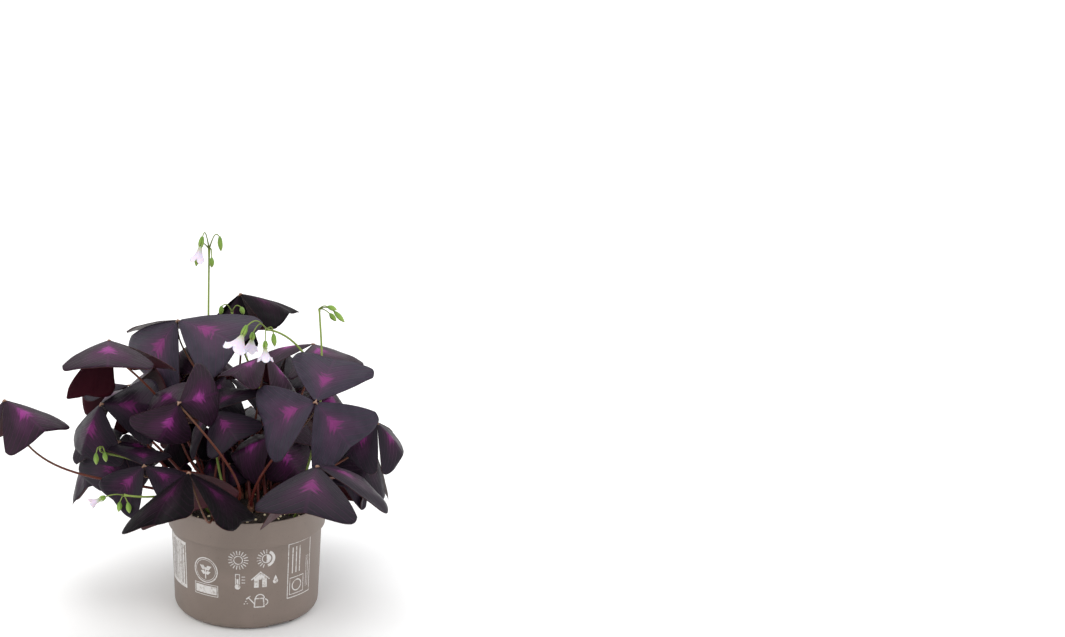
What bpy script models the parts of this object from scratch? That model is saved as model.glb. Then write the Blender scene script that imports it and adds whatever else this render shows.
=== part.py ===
"""Purple shamrock in its nursery pot, built piece by piece.

Lengths in the tables are in millimetres and angles in degrees. The pot stands on the plane
z = 0 with its centre on the z axis, and the plant's front faces the -y side.
"""

import math
from typing import NamedTuple

import bmesh
import bpy
from mathutils import Matrix, Vector

MM = 0.001

POT_HEIGHT = 89.0
RIM_RADIUS = 60.0
COLLAR_DEPTH = 20.5
COLLAR_FOOT_RADIUS = 59.0
BODY_TOP_RADIUS = 58.0
BODY_FOOT_RADIUS = 54.6
CORNER_RADIUS = 4.5
WALL = 1.4
BASE_THICKNESS = 4.5
POT_SEGMENTS = 48
CORNER_STEPS = 4

DRAIN_ANGLES = (-61.0, 59.0, 179.0)
DRAIN_WIDTH = 20.0
DRAIN_DEPTH = 3.0
DRAIN_INNER_RADIUS = 30.0
DRAIN_HOLE_RADIUS = 4.0
DRAIN_HOLE_CENTRE = 39.0

CLEARANCE = 0.3
SOIL_TOP = 82.0
SOIL_EDGE_DROP = 2.0
SOIL_FLAT_RADIUS = 50.0
SEAT = SOIL_TOP + CLEARANCE

CLUMP_HALF_LENGTH = 11.0
CLUMP_HALF_WIDTH = 8.0
CLUMP_HEIGHT = 6.0
CLUMP_SIDES = 16
CLUMP_RINGS = 3
PETIOLE_START = 84.0
PETIOLE_ROOT_RADIUS = 1.1
PETIOLE_TIP_RADIUS = 0.6
PETIOLE_STEPS = 10
TUBE_SIDES = 5

BLADE_HALF_THICKNESS = 0.4
HUB_RISE = 0.9
HUB_SAG = 1.1
PETIOLE_GAP = 1.75
LEAFLET_START = 0.055
LEAFLET_LENGTH_STEPS = 2
LEAFLET_STATIONS = (-1.0, -0.78, -0.4, 0.0, 0.4, 0.78, 1.0)
LEAFLET_CURL = 9.0
NOTCH_REACH = 0.94
LOBE_BULGE = 0.045
CORNER_SETBACK = 0.15
HALF_WIDTH = 0.68
SIDE_BULGE = 0.38
FOLD_SOFTNESS = 0.06

SCAPE_ROOT_RADIUS = 1.0
SCAPE_TIP_RADIUS = 0.8
SCAPE_STEPS = 12
NODE_RADIUS = 1.3
PEDICEL_RADIUS = 0.55
PEDICEL_STEPS = 5
BUD_RADIUS = 1.8
CALYX_SHARE = 0.3
COROLLA_SIDES = 10
PETAL_THICKNESS = 0.6


class Leaf(NamedTuple):
    """One leaf: where its three leaflets meet, how they hang, and its stem's route.

    Attributes:
        name: name of the blade's object.
        hub: point where the leaflets meet.
        lean: tilt of the leaf's axis toward +x and toward +y.
        spin: direction of the first leaflet, counterclockwise from +x.
        length: length of a leaflet along its midrib.
        fold: how far each half of a leaflet folds down.
        droops: how far each leaflet hangs below the level of the hub.
        clump: rhizome clump that the stem grows from.
        root: place of the stem's foot, x and y.
        lift: handle of the stem's curve at its foot.
        arrive: length of the curve's handle under the hub.
    """

    name: str
    hub: tuple
    lean: tuple
    spin: float
    length: float
    fold: float
    droops: tuple
    clump: str
    root: tuple
    lift: tuple
    arrive: float


class Scape(NamedTuple):
    """One flower stalk: where it stands, its umbel's node and the stems on it.

    Attributes:
        name: name of the stalk's object.
        root: place of the foot, x and y.
        lift: handle of the stalk's curve at its foot.
        node: point that the small stems grow from.
        arrive: handle of the stalk's curve at the node.
        stems: small stems as (kind, bend, base, tip), measured from the node.
    """

    name: str
    root: tuple
    lift: tuple
    node: tuple
    arrive: tuple
    stems: tuple


CLUMPS = {
    "a": (-17.0, -9.0),
    "b": (9.0, -15.0),
    "c": (-5.0, 13.0),
    "d": (21.0, 7.0),
    "e": (-33.0, 8.0),
}

LEAVES = (
    Leaf("leaf_01", (-41.5, -99, 145), (-18, 18), 346, 56, 3, (59, 34, 29),
         "a", (-23, -12), (-4, -58, 18), 59),
    Leaf("leaf_02", (49.5, -53.5, 182), (-10, -43), 68, 47, 6, (15, 19, 41), "b", (3, -18), (0, -13, 44), 30),
    Leaf("leaf_03", (49.5, -102.5, 151), (4, -3), 20, 54, 10, (24, 61, 17), "d", (15, 4), (85, -93, 67), 17),
    Leaf("leaf_04", (-49.5, -48, 179.5), (22, -69), 24, 40, 28, (21, 74, 33),
         "a", (-17, -13), (41, -52, 22), 13),
    Leaf("leaf_05", (-75, -44, 129), (12, -12), 97, 36, 8, (10, 50, 10), "a", (-11, -12), (-27, -1, 56), 28),
    Leaf("leaf_06", (-108, -4, 163), (-33, -52), 342, 46, 36, (37, 60, 14), "e", (-33, 4), (-37, -9, 54), 24),
    Leaf("leaf_07", (-101, -15.5, 216.5), (-1, 18), 32, 48, 6, (27, 63, 24),
         "e", (-27, 5), (-28, -19, 105), 19),
    Leaf("leaf_08", (-175, -38, 178), (-15, 6), 196, 46, 22, (37, 34, 37), "e", (-39, 5), (-69, -44, 38), 65),
    Leaf("leaf_09", (14, 5, 198), (12, 13), 337, 36, 19, (37, 37, 32), "c", (-11, 10), (18, 8, 40), 23),
    Leaf("leaf_10", (-25, -11, 160), (-22, -13), 54, 35, 8, (8, 37, 30), "a", (-23, -6), (-6, 4, 46), 45),
    Leaf("leaf_11", (-96, 7, 129), (11, -42), 15, 45, 42, (37, 37, 47), "c", (-5, 9), (-25, 21, 20), 58),
    Leaf("leaf_12", (18, -30, 146), (-15, -46), 61, 44, 48, (37, 28, 51), "b", (9, -19), (-5, 5, 47), 20),
    Leaf("leaf_13", (97, -5, 148), (9, -19), 345, 36, 24, (41, 37, 37), "d", (21, 3), (11, -9, 19), 38),
    Leaf("leaf_14", (-53, 56, 209), (3, -25), 90, 58, 9, (49, 60, -3), "a", (-17, -5), (1, 1, 110), 47),
    Leaf("leaf_15", (-90, 65, 153), (7, 41), 62, 38, 54, (37, 6, -10), "c", (1, 10), (-14, 22, 91), 44),
    Leaf("leaf_16", (50, 41, 195), (-8, 6), 42, 45, 18, (37, 6, 8), "d", (27, 4), (3, 3, 87), 27),
    Leaf("leaf_17", (-6, 118, 211), (-6, 6), 100, 46, 14, (50, 60, 22), "c", (-11, 16), (5, 145, 74), 33),
    Leaf("leaf_18", (-63, 95, 153), (-22, 24), 63, 42, 20, (36, 40, 34), "a", (-11, -6), (-50, -23, 45), 27),
    Leaf("leaf_19", (-43, 95, 178), (-8, 28), 105, 46, 16, (34, 36, 40), "e", (-39, 11), (-95, 5, 86), 56),
    Leaf("leaf_20", (31, 98, 168), (8, 28), 323, 44, 22, (38, 32, 36), "b", (15, -18), (-14, 57, 100), 72),
    Leaf("leaf_21", (63, 60, 155), (24, 20), 48, 46, 18, (34, 38, 36), "b", (3, -12), (-13, 39, 84), 21),
    Leaf("leaf_22", (95, 35, 117), (34, 12), 39, 42, 20, (36, 30, 38), "d", (15, 10), (35, 12, 46), 21),
    Leaf("leaf_23", (-120, 58, 108), (-36, 14), 117, 44, 18, (36, 36, 30), "e", (-33, 12), (15, -17, 29), 37),
    Leaf("leaf_24", (-63, 104, 131), (-24, 36), 316, 42, 22, (34, 38, 36), "c", (-5, 17), (-12, 62, 23), 66),
    Leaf("leaf_25", (3, 125, 114), (0, 38), 67, 46, 16, (36, 32, 38), "c", (1, 16), (-4, 18, 65), 60),
    Leaf("leaf_26", (73, 123, 110), (24, 36), 114, 42, 20, (34, 36, 38), "d", (21, 11), (18, 33, 49), 58),
    Leaf("leaf_27", (91, 26.5, 107.5), (38, 22), 22, 38, 30, (54, 36, 56), "d", (27, 10), (3, 6, 23), 39),
    Leaf("leaf_28", (-16, 52, 166), (0, 8), 5, 42, 18, (34, 36, 32), "c", (-7.5, 13), (8, 15, 51), 30),
    Leaf("leaf_29", (29.5, 51, 136.5), (15, 18), 64, 42, 18, (34, 36, 32), "d", (18.5, 7), (-3, -1, 37), 24),
    Leaf("leaf_30", (-44, 47, 129), (-12, 14), 86, 42, 18, (34, 36, 32), "e", (-27, 11), (-11, 18, 36), 15),
)

BUD = "bud"
TRUMPET = "trumpet"
BELL = "bell"
TUBE = "tube"
MOUTH_RADIUS = {TRUMPET: 8.5, BELL: 5.0, TUBE: 3.2}

SCAPES = (
    Scape("flower_stalk_tall", (-11, -23), (-20, -11, 58), (-29.5, 85, 257.5), (-1, -1, -85), (
        (BUD, (4.5, 2, 14), (8, 3, 9), (9, 3, -3)),
        (BELL, (-3, -3, 18), (-5, -5, 11), (-9, -8, -9)),
        (BUD, (-6, 2, 7), (-9, 2, -4), (-10, 2, -15)),
        (BUD, (2, -3, 2), (2, -4, -6), (2, -4, -14)),
    )),
    Scape("flower_stalk_front", (35, -32), (41, 18, 85), (14, -18, 226), (31, 28, -13), (
        (TRUMPET, (-7.5, -4, 11), (-14.5, -6, 5), (-23, -10, -14)),
        (BELL, (-5, 1, 7), (-10, 2, -3), (-12, 4, -18)),
        (BELL, (-1, -4, 4), (-1, -6, -7), (-1, -9, -22)),
        (BUD, (4, 2, 3), (5, 2, -4), (6, 2, -14)),
    )),
    Scape("flower_stalk_right", (32, -27), (29, -31, 85), (53.5, 20, 230), (2, -5, -33), (
        (BUD, (6, -2, 3), (11, -3, -1), (19, -5, -9)),
        (BUD, (4, 3, -1), (8, 4, -5), (13, 4, -11)),
        (BUD, (3, -3, 4), (6, -4, 3), (13, -5, 1)),
    )),
    Scape("flower_stalk_back", (44, -13), (-11, -6, 51), (-12, 85, 206.5), (-1, 6, -21), (
        (BUD, (-4, 0, 8), (-8, 0, 5), (-9, 0, -3)),
        (BUD, (3, 0, 7), (7, 0, 4), (9, 0, -2)),
    )),
    Scape("flower_stalk_left", (-42, -16), (-31, -2, 57), (-108, -20, 134.5), (-5, 12, -16), (
        (BUD, (-2, -1, 1), (-3, -2, -4), (-3, -2, -13)),
        (BUD, (2, 1, 1), (3, 1, -4), (4, 1, -12)),
    )),
    Scape("flower_stalk_low", (-28, -22), (-17, -10, 34), (-89, -64, 114), (41, -5, -5), (
        (TUBE, (-7, -2, 2), (-13, -3, 0), (-24, -5, -5)),
        (BUD, (-1, 1, -1), (-3, 2, -6), (-4, 2, -14)),
        (BUD, (1, -1, -1), (3, -2, -5), (4, -3, -13)),
    )),
)


def clear_scene():
    """Remove every object that the default file brings."""
    for found in list(bpy.data.objects):
        bpy.data.objects.remove(found, do_unlink=True)


def make_material(name, colour, roughness):
    """Return a plain Principled material.

    Args:
        name: name of the material.
        colour: linear red, green and blue.
        roughness: roughness of the surface.
    """
    material = bpy.data.materials.new(name)
    material.use_nodes = True
    shader = material.node_tree.nodes["Principled BSDF"]
    shader.inputs["Base Color"].default_value = (*colour, 1.0)
    shader.inputs["Roughness"].default_value = roughness
    return material


def add_object(name, points, faces, colour=None, roughness=0.6):
    """Make an object from points in millimetres and faces that index them.

    Args:
        name: name of the object.
        points: corner points in millimetres.
        faces: lists of point indices, counterclockwise seen from outside.
        colour: linear colour of the object's own material, or None for a helper.
        roughness: roughness of that material.
    """
    mesh = bpy.data.meshes.new(name)
    mesh.from_pydata([Vector(point) * MM for point in points], [], faces)
    mesh.validate()
    built = bpy.data.objects.new(name, mesh)
    bpy.context.scene.collection.objects.link(built)
    if colour is not None:
        mesh.materials.append(make_material(name + "_material", colour, roughness))
    return built


def combine(target, other, operation):
    """Apply an exact Boolean of two objects to the first and remove the second."""
    modifier = target.modifiers.new("combine", "BOOLEAN")
    modifier.operation = operation
    modifier.solver = "EXACT"
    modifier.object = other
    graph = bpy.context.evaluated_depsgraph_get()
    result = bpy.data.meshes.new_from_object(target.evaluated_get(graph))
    target.modifiers.clear()
    target.data = result
    bpy.data.objects.remove(other, do_unlink=True)


def tidy(target, distance=0.02):
    """Weld points closer than a distance in millimetres and split every face into triangles."""
    grid = bmesh.new()
    grid.from_mesh(target.data)
    bmesh.ops.remove_doubles(grid, verts=grid.verts, dist=distance * MM)
    bmesh.ops.dissolve_degenerate(grid, edges=grid.edges, dist=distance * MM)
    bmesh.ops.triangulate(grid, faces=grid.faces)
    bmesh.ops.recalc_face_normals(grid, faces=grid.faces)
    grid.to_mesh(target.data)
    grid.free()


def turned(profile, segments):
    """Turn a profile round the z axis into a closed skin.

    Args:
        profile: (radius, height) pairs that start and end on the axis, bottom to top outside.
        segments: number of steps round the axis.
    """
    points = [(0.0, 0.0, profile[0][1])]
    for radius, height in profile[1:-1]:
        for step in range(segments):
            angle = 2.0 * math.pi * step / segments
            points.append((radius * math.cos(angle), radius * math.sin(angle), height))
    points.append((0.0, 0.0, profile[-1][1]))
    faces = []
    last = len(points) - 1
    rings = len(profile) - 2
    for step in range(segments):
        after = (step + 1) % segments
        faces.append([0, 1 + after, 1 + step])
        top = 1 + (rings - 1) * segments
        faces.append([last, top + step, top + after])
        for ring in range(rings - 1):
            low = 1 + ring * segments
            high = low + segments
            faces.append([low + step, low + after, high + after, high + step])
    return points, faces


def pot_profile():
    """Return the pot's outline: outside from the foot up, then inside back down."""
    collar_foot = POT_HEIGHT - COLLAR_DEPTH
    profile = [(0.0, 0.0)]
    centre = BODY_FOOT_RADIUS - CORNER_RADIUS
    for step in range(CORNER_STEPS + 1):
        angle = math.radians(-90.0 + 85.0 * step / CORNER_STEPS)
        profile.append((
            centre + CORNER_RADIUS * math.cos(angle),
            CORNER_RADIUS + CORNER_RADIUS * math.sin(angle),
        ))
    profile += [
        (BODY_TOP_RADIUS, collar_foot),
        (COLLAR_FOOT_RADIUS, collar_foot + 0.3),
        (RIM_RADIUS, POT_HEIGHT - 0.7),
        (RIM_RADIUS - 0.4, POT_HEIGHT),
        (RIM_RADIUS - 1.1, POT_HEIGHT),
        (RIM_RADIUS - WALL, POT_HEIGHT - 0.7),
        (COLLAR_FOOT_RADIUS - WALL, collar_foot + 1.7),
        (BODY_TOP_RADIUS - WALL, collar_foot - 1.0),
        (BODY_FOOT_RADIUS - WALL, BASE_THICKNESS + 3.5),
        (BODY_FOOT_RADIUS - WALL - 3.0, BASE_THICKNESS),
        (0.0, BASE_THICKNESS),
    ]
    return profile


def box_cutter(length, width, height, centre, angle):
    """Return a box helper that is turned by an angle round the z axis after it is placed."""
    turn = Matrix.Rotation(math.radians(angle), 3, "Z")
    points = []
    for z in (-0.5, 0.5):
        for x, y in ((-0.5, -0.5), (0.5, -0.5), (0.5, 0.5), (-0.5, 0.5)):
            place = (centre[0] + x * length, centre[1] + y * width, centre[2] + z * height)
            points.append(turn @ Vector(place))
    faces = [[3, 2, 1, 0], [4, 5, 6, 7], [0, 1, 5, 4], [1, 2, 6, 5], [2, 3, 7, 6], [3, 0, 4, 7]]
    return add_object("cutter", points, faces)


def drill(radius, height, place, angle, sides=16):
    """Return an upright rod helper at a distance from the axis, in a direction."""
    turn = Matrix.Rotation(math.radians(angle), 3, "Z")
    points, faces = turned([(0.0, -1.0), (radius, -1.0), (radius, height), (0.0, height)], sides)
    moved = [turn @ (Vector(point) + Vector((place, 0.0, 0.0))) for point in points]
    return add_object("drill", moved, faces)


def build_pot():
    """Build the moulded pot with its drain notches and holes."""
    points, faces = turned(pot_profile(), POT_SEGMENTS)
    pot = add_object("nursery_pot", points, faces, (0.26, 0.20, 0.16), 0.75)
    reach = BODY_FOOT_RADIUS + 4.0 - DRAIN_INNER_RADIUS
    for angle in DRAIN_ANGLES:
        middle = (DRAIN_INNER_RADIUS + reach / 2.0, 0.0, DRAIN_DEPTH / 2.0 - 1.0)
        cutter = box_cutter(reach, DRAIN_WIDTH, DRAIN_DEPTH + 2.0, middle, angle)
        combine(pot, cutter, "DIFFERENCE")
        combine(pot, drill(DRAIN_HOLE_RADIUS, BASE_THICKNESS + 1.0, DRAIN_HOLE_CENTRE, angle), "DIFFERENCE")
    tidy(pot)


def build_soil():
    """Build the growing medium, which keeps clear of the pot all round."""
    collar_foot = POT_HEIGHT - COLLAR_DEPTH
    inner_foot = BODY_FOOT_RADIUS - WALL - CLEARANCE
    inner_top = BODY_TOP_RADIUS - WALL - CLEARANCE
    inner_collar = COLLAR_FOOT_RADIUS - WALL - CLEARANCE
    profile = [
        (0.0, BASE_THICKNESS + CLEARANCE),
        (inner_foot - 3.2, BASE_THICKNESS + CLEARANCE),
        (inner_foot, BASE_THICKNESS + 4.0),
        (inner_top, collar_foot - 1.0),
        (inner_collar, collar_foot + 2.2),
        (inner_collar + 0.3, SOIL_TOP - SOIL_EDGE_DROP - 1.0),
        (inner_collar - 1.2, SOIL_TOP - SOIL_EDGE_DROP),
        (SOIL_FLAT_RADIUS, SOIL_TOP),
        (0.0, SOIL_TOP),
    ]
    points, faces = turned(profile, POT_SEGMENTS)
    add_object("growing_medium", points, faces, (0.025, 0.017, 0.012), 0.95)


def bezier(start, first, second, end, steps):
    """Return points along a cubic curve."""
    curve = []
    for step in range(steps + 1):
        t = step / steps
        s = 1.0 - t
        curve.append(start * s ** 3 + first * 3.0 * s * s * t + second * 3.0 * s * t * t + end * t ** 3)
    return curve


def tube(route, start_radius, end_radius, sides, level_foot=False):
    """Sweep a tapering rod along a route.

    Args:
        route: points of the centre line.
        start_radius: radius at the first point.
        end_radius: radius at the last point.
        sides: number of sides.
        level_foot: whether the first ring is cut level.
    """
    points = []
    faces = []
    last = len(route) - 1
    tangent = (route[1] - route[0]).normalized()
    side = tangent.cross(Vector((1.0, 0.0, 0.0) if abs(tangent.x) < 0.9 else (0.0, 1.0, 0.0))).normalized()
    for index, place in enumerate(route):
        tangent = (route[min(index + 1, last)] - route[max(index - 1, 0)]).normalized()
        side = (side - tangent * side.dot(tangent)).normalized()
        other = tangent.cross(side)
        radius = start_radius + (end_radius - start_radius) * index / last
        for step in range(sides):
            angle = 2.0 * math.pi * step / sides
            point = place + radius * (side * math.cos(angle) + other * math.sin(angle))
            if level_foot and index == 0:
                point.z = place.z
            points.append(point)
    for index in range(last):
        for step in range(sides):
            low = index * sides + step
            low_after = index * sides + (step + 1) % sides
            faces.append([low, low_after, low_after + sides])
            faces.append([low, low_after + sides, low + sides])
    faces.append(list(range(sides))[::-1])
    faces.append([last * sides + step for step in range(sides)])
    return points, faces


def leaf_frame(leaf):
    """Return the rotation that leans a leaf's axis away from upright."""
    lean_x, lean_y = (math.radians(value) for value in leaf.lean)
    angle = math.hypot(lean_x, lean_y)
    if angle < 1e-6:
        return Matrix.Identity(3)
    return Matrix.Rotation(angle, 3, Vector((-lean_y, lean_x, 0.0)).normalized())


def far_edge(station):
    """Return how far out and how far aside a leaflet's far edge lies, as shares of its length."""
    a = abs(station)
    out = NOTCH_REACH + LOBE_BULGE * math.sin(math.pi * min(a / 0.8, 1.0))
    out -= CORNER_SETBACK * max(0.0, (a - 0.72) / 0.28) ** 2
    aside = HALF_WIDTH * math.sin(a * math.pi / 2.0) ** 0.92
    return out, math.copysign(aside, station)


def leaflet_point(leaf, droop, share, station, lift):
    """Return a point of a leaflet in its own axes: outward, sideways and up.

    Args:
        leaf: the leaf that the leaflet belongs to.
        droop: the leaflet's droop in degrees.
        share: share of the way from the hub to the far edge.
        station: place across the leaflet, -1 to 1.
        lift: distance above the middle of the blade.
    """
    out, aside = far_edge(station)
    along = out * share
    across = aside * (share + SIDE_BULGE * share * (1.0 - share))
    start = math.radians(droop - LEAFLET_CURL)
    turn = math.radians(2.0 * LEAFLET_CURL)
    slope = start + turn * along
    x = (math.sin(slope) - math.sin(start)) / turn
    z = (math.cos(slope) - math.cos(start)) / turn
    up = Vector((math.sin(slope), 0.0, math.cos(slope)))
    fold = math.radians(leaf.fold)
    drop = math.sin(fold) * (math.hypot(across, FOLD_SOFTNESS) - FOLD_SOFTNESS)
    middle = Vector((x, across * math.cos(fold), z)) - up * drop
    return middle * leaf.length + up * lift


def build_blade(leaf):
    """Build one blade: three leaflets, top and bottom skins, joined round the hub."""
    frame = leaf_frame(leaf)
    hub = Vector(leaf.hub)
    points = []
    faces = []
    wide = len(LEAFLET_STATIONS)
    steps = LEAFLET_LENGTH_STEPS
    skins = []
    for index, droop in enumerate(leaf.droops):
        turn = frame @ Matrix.Rotation(math.radians(leaf.spin + 120.0 * index), 3, "Z")
        for lift in (BLADE_HALF_THICKNESS, -BLADE_HALF_THICKNESS):
            base = len(points)
            skins.append(base)
            for step in range(steps + 1):
                share = LEAFLET_START + (1.0 - LEAFLET_START) * step / steps
                for station in LEAFLET_STATIONS:
                    points.append(hub + turn @ leaflet_point(leaf, droop, share, station, lift))
            for step in range(steps):
                for place in range(wide - 1):
                    a = base + step * wide + place
                    b, c, d = a + wide, a + wide + 1, a + 1
                    if lift > 0.0:
                        faces += [[a, b, c], [a, c, d]]
                    else:
                        faces += [[c, b, a], [d, c, a]]
        top, bottom = skins[-2], skins[-1]
        border = [step * wide for step in range(steps)]
        border += [steps * wide + place for place in range(wide)]
        border += [step * wide + wide - 1 for step in range(steps - 1, -1, -1)]
        for here, there in zip(border, border[1:]):
            faces += [[top + here, bottom + here, bottom + there], [top + here, bottom + there, top + there]]
    crown = len(points)
    points.append(hub + frame @ Vector((0.0, 0.0, HUB_RISE)))
    points.append(hub - frame @ Vector((0.0, 0.0, HUB_SAG)))
    top_ring = [skins[2 * index] + place for index in range(3) for place in range(wide)]
    bottom_ring = [skins[2 * index + 1] + place for index in range(3) for place in range(wide)]
    for index, here in enumerate(top_ring):
        after = (index + 1) % len(top_ring)
        there, under, under_there = top_ring[after], bottom_ring[index], bottom_ring[after]
        faces += [[crown, here, there], [crown + 1, under_there, under]]
        if after % wide == 0:
            faces += [[here, under, under_there], [here, under_there, there]]
    add_object(leaf.name, points, faces, (0.035, 0.012, 0.032), 0.5)


def dome(centre):
    """Return the skin of a flat-bottomed rhizome clump."""
    points = []
    faces = []
    for ring in range(CLUMP_RINGS + 1):
        angle = math.radians(72.0 * ring / CLUMP_RINGS)
        for step in range(CLUMP_SIDES):
            turn = 2.0 * math.pi * step / CLUMP_SIDES
            bump = 1.0 + 0.05 * math.cos(3.0 * turn)
            points.append((
                centre[0] + CLUMP_HALF_LENGTH * bump * math.cos(angle) * math.cos(turn),
                centre[1] + CLUMP_HALF_WIDTH * bump * math.cos(angle) * math.sin(turn),
                SEAT + CLUMP_HEIGHT * math.sin(angle),
            ))
    for ring in range(CLUMP_RINGS):
        for step in range(CLUMP_SIDES):
            low = ring * CLUMP_SIDES + step
            low_after = ring * CLUMP_SIDES + (step + 1) % CLUMP_SIDES
            faces.append([low, low_after, low_after + CLUMP_SIDES])
            faces.append([low, low_after + CLUMP_SIDES, low + CLUMP_SIDES])
    faces.append(list(range(CLUMP_SIDES))[::-1])
    faces.append([CLUMP_RINGS * CLUMP_SIDES + step for step in range(CLUMP_SIDES)])
    return points, faces


def build_clump(key, centre):
    """Build one rhizome clump with the leaf stems that grow from it."""
    points, faces = dome(centre)
    clump = add_object("rhizome_stems_" + key, points, faces, (0.15, 0.05, 0.035), 0.6)
    for leaf in LEAVES:
        if leaf.clump != key:
            continue
        axis = leaf_frame(leaf) @ Vector((0.0, 0.0, 1.0))
        foot = Vector((*leaf.root, PETIOLE_START))
        top = Vector(leaf.hub) - axis * PETIOLE_GAP
        route = bezier(foot, foot + Vector(leaf.lift), top - axis * leaf.arrive, top, PETIOLE_STEPS)
        stem = add_object("stem", *tube(route, PETIOLE_ROOT_RADIUS, PETIOLE_TIP_RADIUS, TUBE_SIDES))
        combine(clump, stem, "UNION")
    tidy(clump)


def rod_between(profile, start, end, sides):
    """Turn a profile along the line from start to end.

    Args:
        profile: (share of the length, radius) pairs.
        start: first point of the line.
        end: last point of the line.
        sides: number of sides.
    """
    line = end - start
    spin = line.to_track_quat("Z", "Y").to_matrix()
    length = line.length
    shape = [(0.0, profile[0][0] * length)]
    shape += [(radius, share * length) for share, radius in profile]
    shape.append((0.0, profile[-1][0] * length))
    points, faces = turned(shape, sides)
    return [start + spin @ Vector(point) for point in points], faces


def build_corolla(name, start, end, mouth):
    """Build one flower as a thin-walled trumpet with its mouth's radius at the end point."""
    wall = PETAL_THICKNESS
    profile = [
        (0.0, 1.1),
        (0.35, 1.9),
        (0.75, mouth * 0.55),
        (1.0, mouth),
        (1.03, mouth - wall * 0.6),
        (0.78, mouth * 0.55 - wall),
        (0.38, 1.9 - wall),
        (0.12, 0.3),
    ]
    add_object(name, *rod_between(profile, start, end, COROLLA_SIDES), (0.75, 0.62, 0.78), 0.5)


def build_scape(scape):
    """Build one flower stalk with its umbel, and its open flowers as pieces of their own."""
    foot = Vector((*scape.root, SEAT))
    node = Vector(scape.node)
    route = bezier(foot, foot + Vector(scape.lift), node + Vector(scape.arrive), node, SCAPE_STEPS)
    skin = tube(route, SCAPE_ROOT_RADIUS, SCAPE_TIP_RADIUS, TUBE_SIDES, level_foot=True)
    stalk = add_object(scape.name, *skin, (0.25, 0.33, 0.09), 0.5)
    along = (route[-1] - route[-2]).normalized()
    knob = [(0.0, 0.5), (0.3, NODE_RADIUS), (0.7, NODE_RADIUS), (1.0, 0.5)]
    ends = (node - along * NODE_RADIUS, node + along * NODE_RADIUS)
    combine(stalk, add_object("knob", *rod_between(knob, *ends, 6)), "UNION")
    for number, (kind, bend, base, tip) in enumerate(scape.stems, start=1):
        bend, base, tip = (node + Vector(value) for value in (bend, base, tip))
        line = tip - base
        curve = bezier(node, node + (bend - node) * 0.8, bend + (base - bend) * 0.1,
                       base + line * 0.1, PEDICEL_STEPS)
        pedicel = tube(curve, PEDICEL_RADIUS, PEDICEL_RADIUS, TUBE_SIDES)
        combine(stalk, add_object("pedicel", *pedicel), "UNION")
        if kind == BUD:
            shape = [(0.0, 0.9), (0.2, BUD_RADIUS * 0.9), (0.5, BUD_RADIUS),
                     (0.8, BUD_RADIUS * 0.75), (1.0, 0.35)]
            combine(stalk, add_object("bud", *rod_between(shape, base, tip, 8)), "UNION")
        else:
            cup_end = base + line * CALYX_SHARE
            shape = [(0.0, 0.9), (0.35, 1.5), (0.85, 1.7), (1.0, 1.2)]
            combine(stalk, add_object("calyx", *rod_between(shape, base, cup_end, 8)), "UNION")
            start = cup_end + line.normalized() * CLEARANCE
            flower = "corolla_%s_%d" % (scape.name.rsplit("_", 1)[1], number)
            build_corolla(flower, start, tip, MOUTH_RADIUS[kind])
    tidy(stalk)


def main():
    """Build every piece of the potted plant."""
    clear_scene()
    build_pot()
    build_soil()
    for leaf in LEAVES:
        build_blade(leaf)
    for key, centre in CLUMPS.items():
        build_clump(key, centre)
    for scape in SCAPES:
        build_scape(scape)


main()
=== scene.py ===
"""Looks of a potted purple shamrock.

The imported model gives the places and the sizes. This script replaces its plain solids with fine
leaves, stems, flowers, soil and a printed pot, dresses them, and sets the floor, light and camera.
Lengths are in millimetres and angles in degrees until a mesh is made.
"""

from __future__ import annotations

import logging
import math
import random
from dataclasses import dataclass, field
from enum import Enum
from typing import Callable, Sequence

import bpy
from mathutils import Matrix, Vector, noise
from mathutils.kdtree import KDTree


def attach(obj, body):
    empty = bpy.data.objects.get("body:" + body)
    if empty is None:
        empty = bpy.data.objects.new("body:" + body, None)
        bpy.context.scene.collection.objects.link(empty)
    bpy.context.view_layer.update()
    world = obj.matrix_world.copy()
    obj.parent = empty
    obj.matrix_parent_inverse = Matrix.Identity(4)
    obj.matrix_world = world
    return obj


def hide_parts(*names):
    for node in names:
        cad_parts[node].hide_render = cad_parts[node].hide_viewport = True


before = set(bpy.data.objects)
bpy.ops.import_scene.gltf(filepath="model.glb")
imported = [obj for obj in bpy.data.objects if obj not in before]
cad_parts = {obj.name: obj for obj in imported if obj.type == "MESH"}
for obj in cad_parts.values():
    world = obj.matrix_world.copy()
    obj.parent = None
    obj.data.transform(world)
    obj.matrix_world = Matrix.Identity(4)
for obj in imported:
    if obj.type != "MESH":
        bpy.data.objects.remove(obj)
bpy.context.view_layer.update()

LOG = logging.getLogger("purple_shamrock")
MM = 0.001
TISSUE_IOR = 1.42
Point2 = tuple[float, float]
Point3 = tuple[float, float, float]
Rows = Sequence[Sequence[Vector]]
Material = bpy.types.Material
Piece = bpy.types.Object


def srgb(code: str) -> tuple[float, float, float, float]:
    """Turn an sRGB hex colour into linear red, green, blue and alpha.

    Args:
        code: six hex digits after a hash sign.

    Returns:
        Linear components, with alpha 1.
    """
    values = [int(code[start:start + 2], 16) / 255.0 for start in (1, 3, 5)]
    linear = [v / 12.92 if v <= 0.04045 else ((v + 0.055) / 1.055) ** 2.4 for v in values]
    return (*linear, 1.0)


def plug(node: bpy.types.Node, inputs: dict) -> None:
    """Give a node's inputs their values or links.

    Args:
        node: node to set.
        inputs: socket name or number to a value, to an output socket, or to a node whose first
            output in use is linked.
    """
    for key, value in inputs.items():
        if isinstance(value, bpy.types.Node):
            value = next(socket for socket in value.outputs if socket.enabled)
        if isinstance(value, bpy.types.NodeSocket):
            node.id_data.links.new(value, node.inputs[key])
        else:
            node.inputs[key].default_value = value


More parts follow.
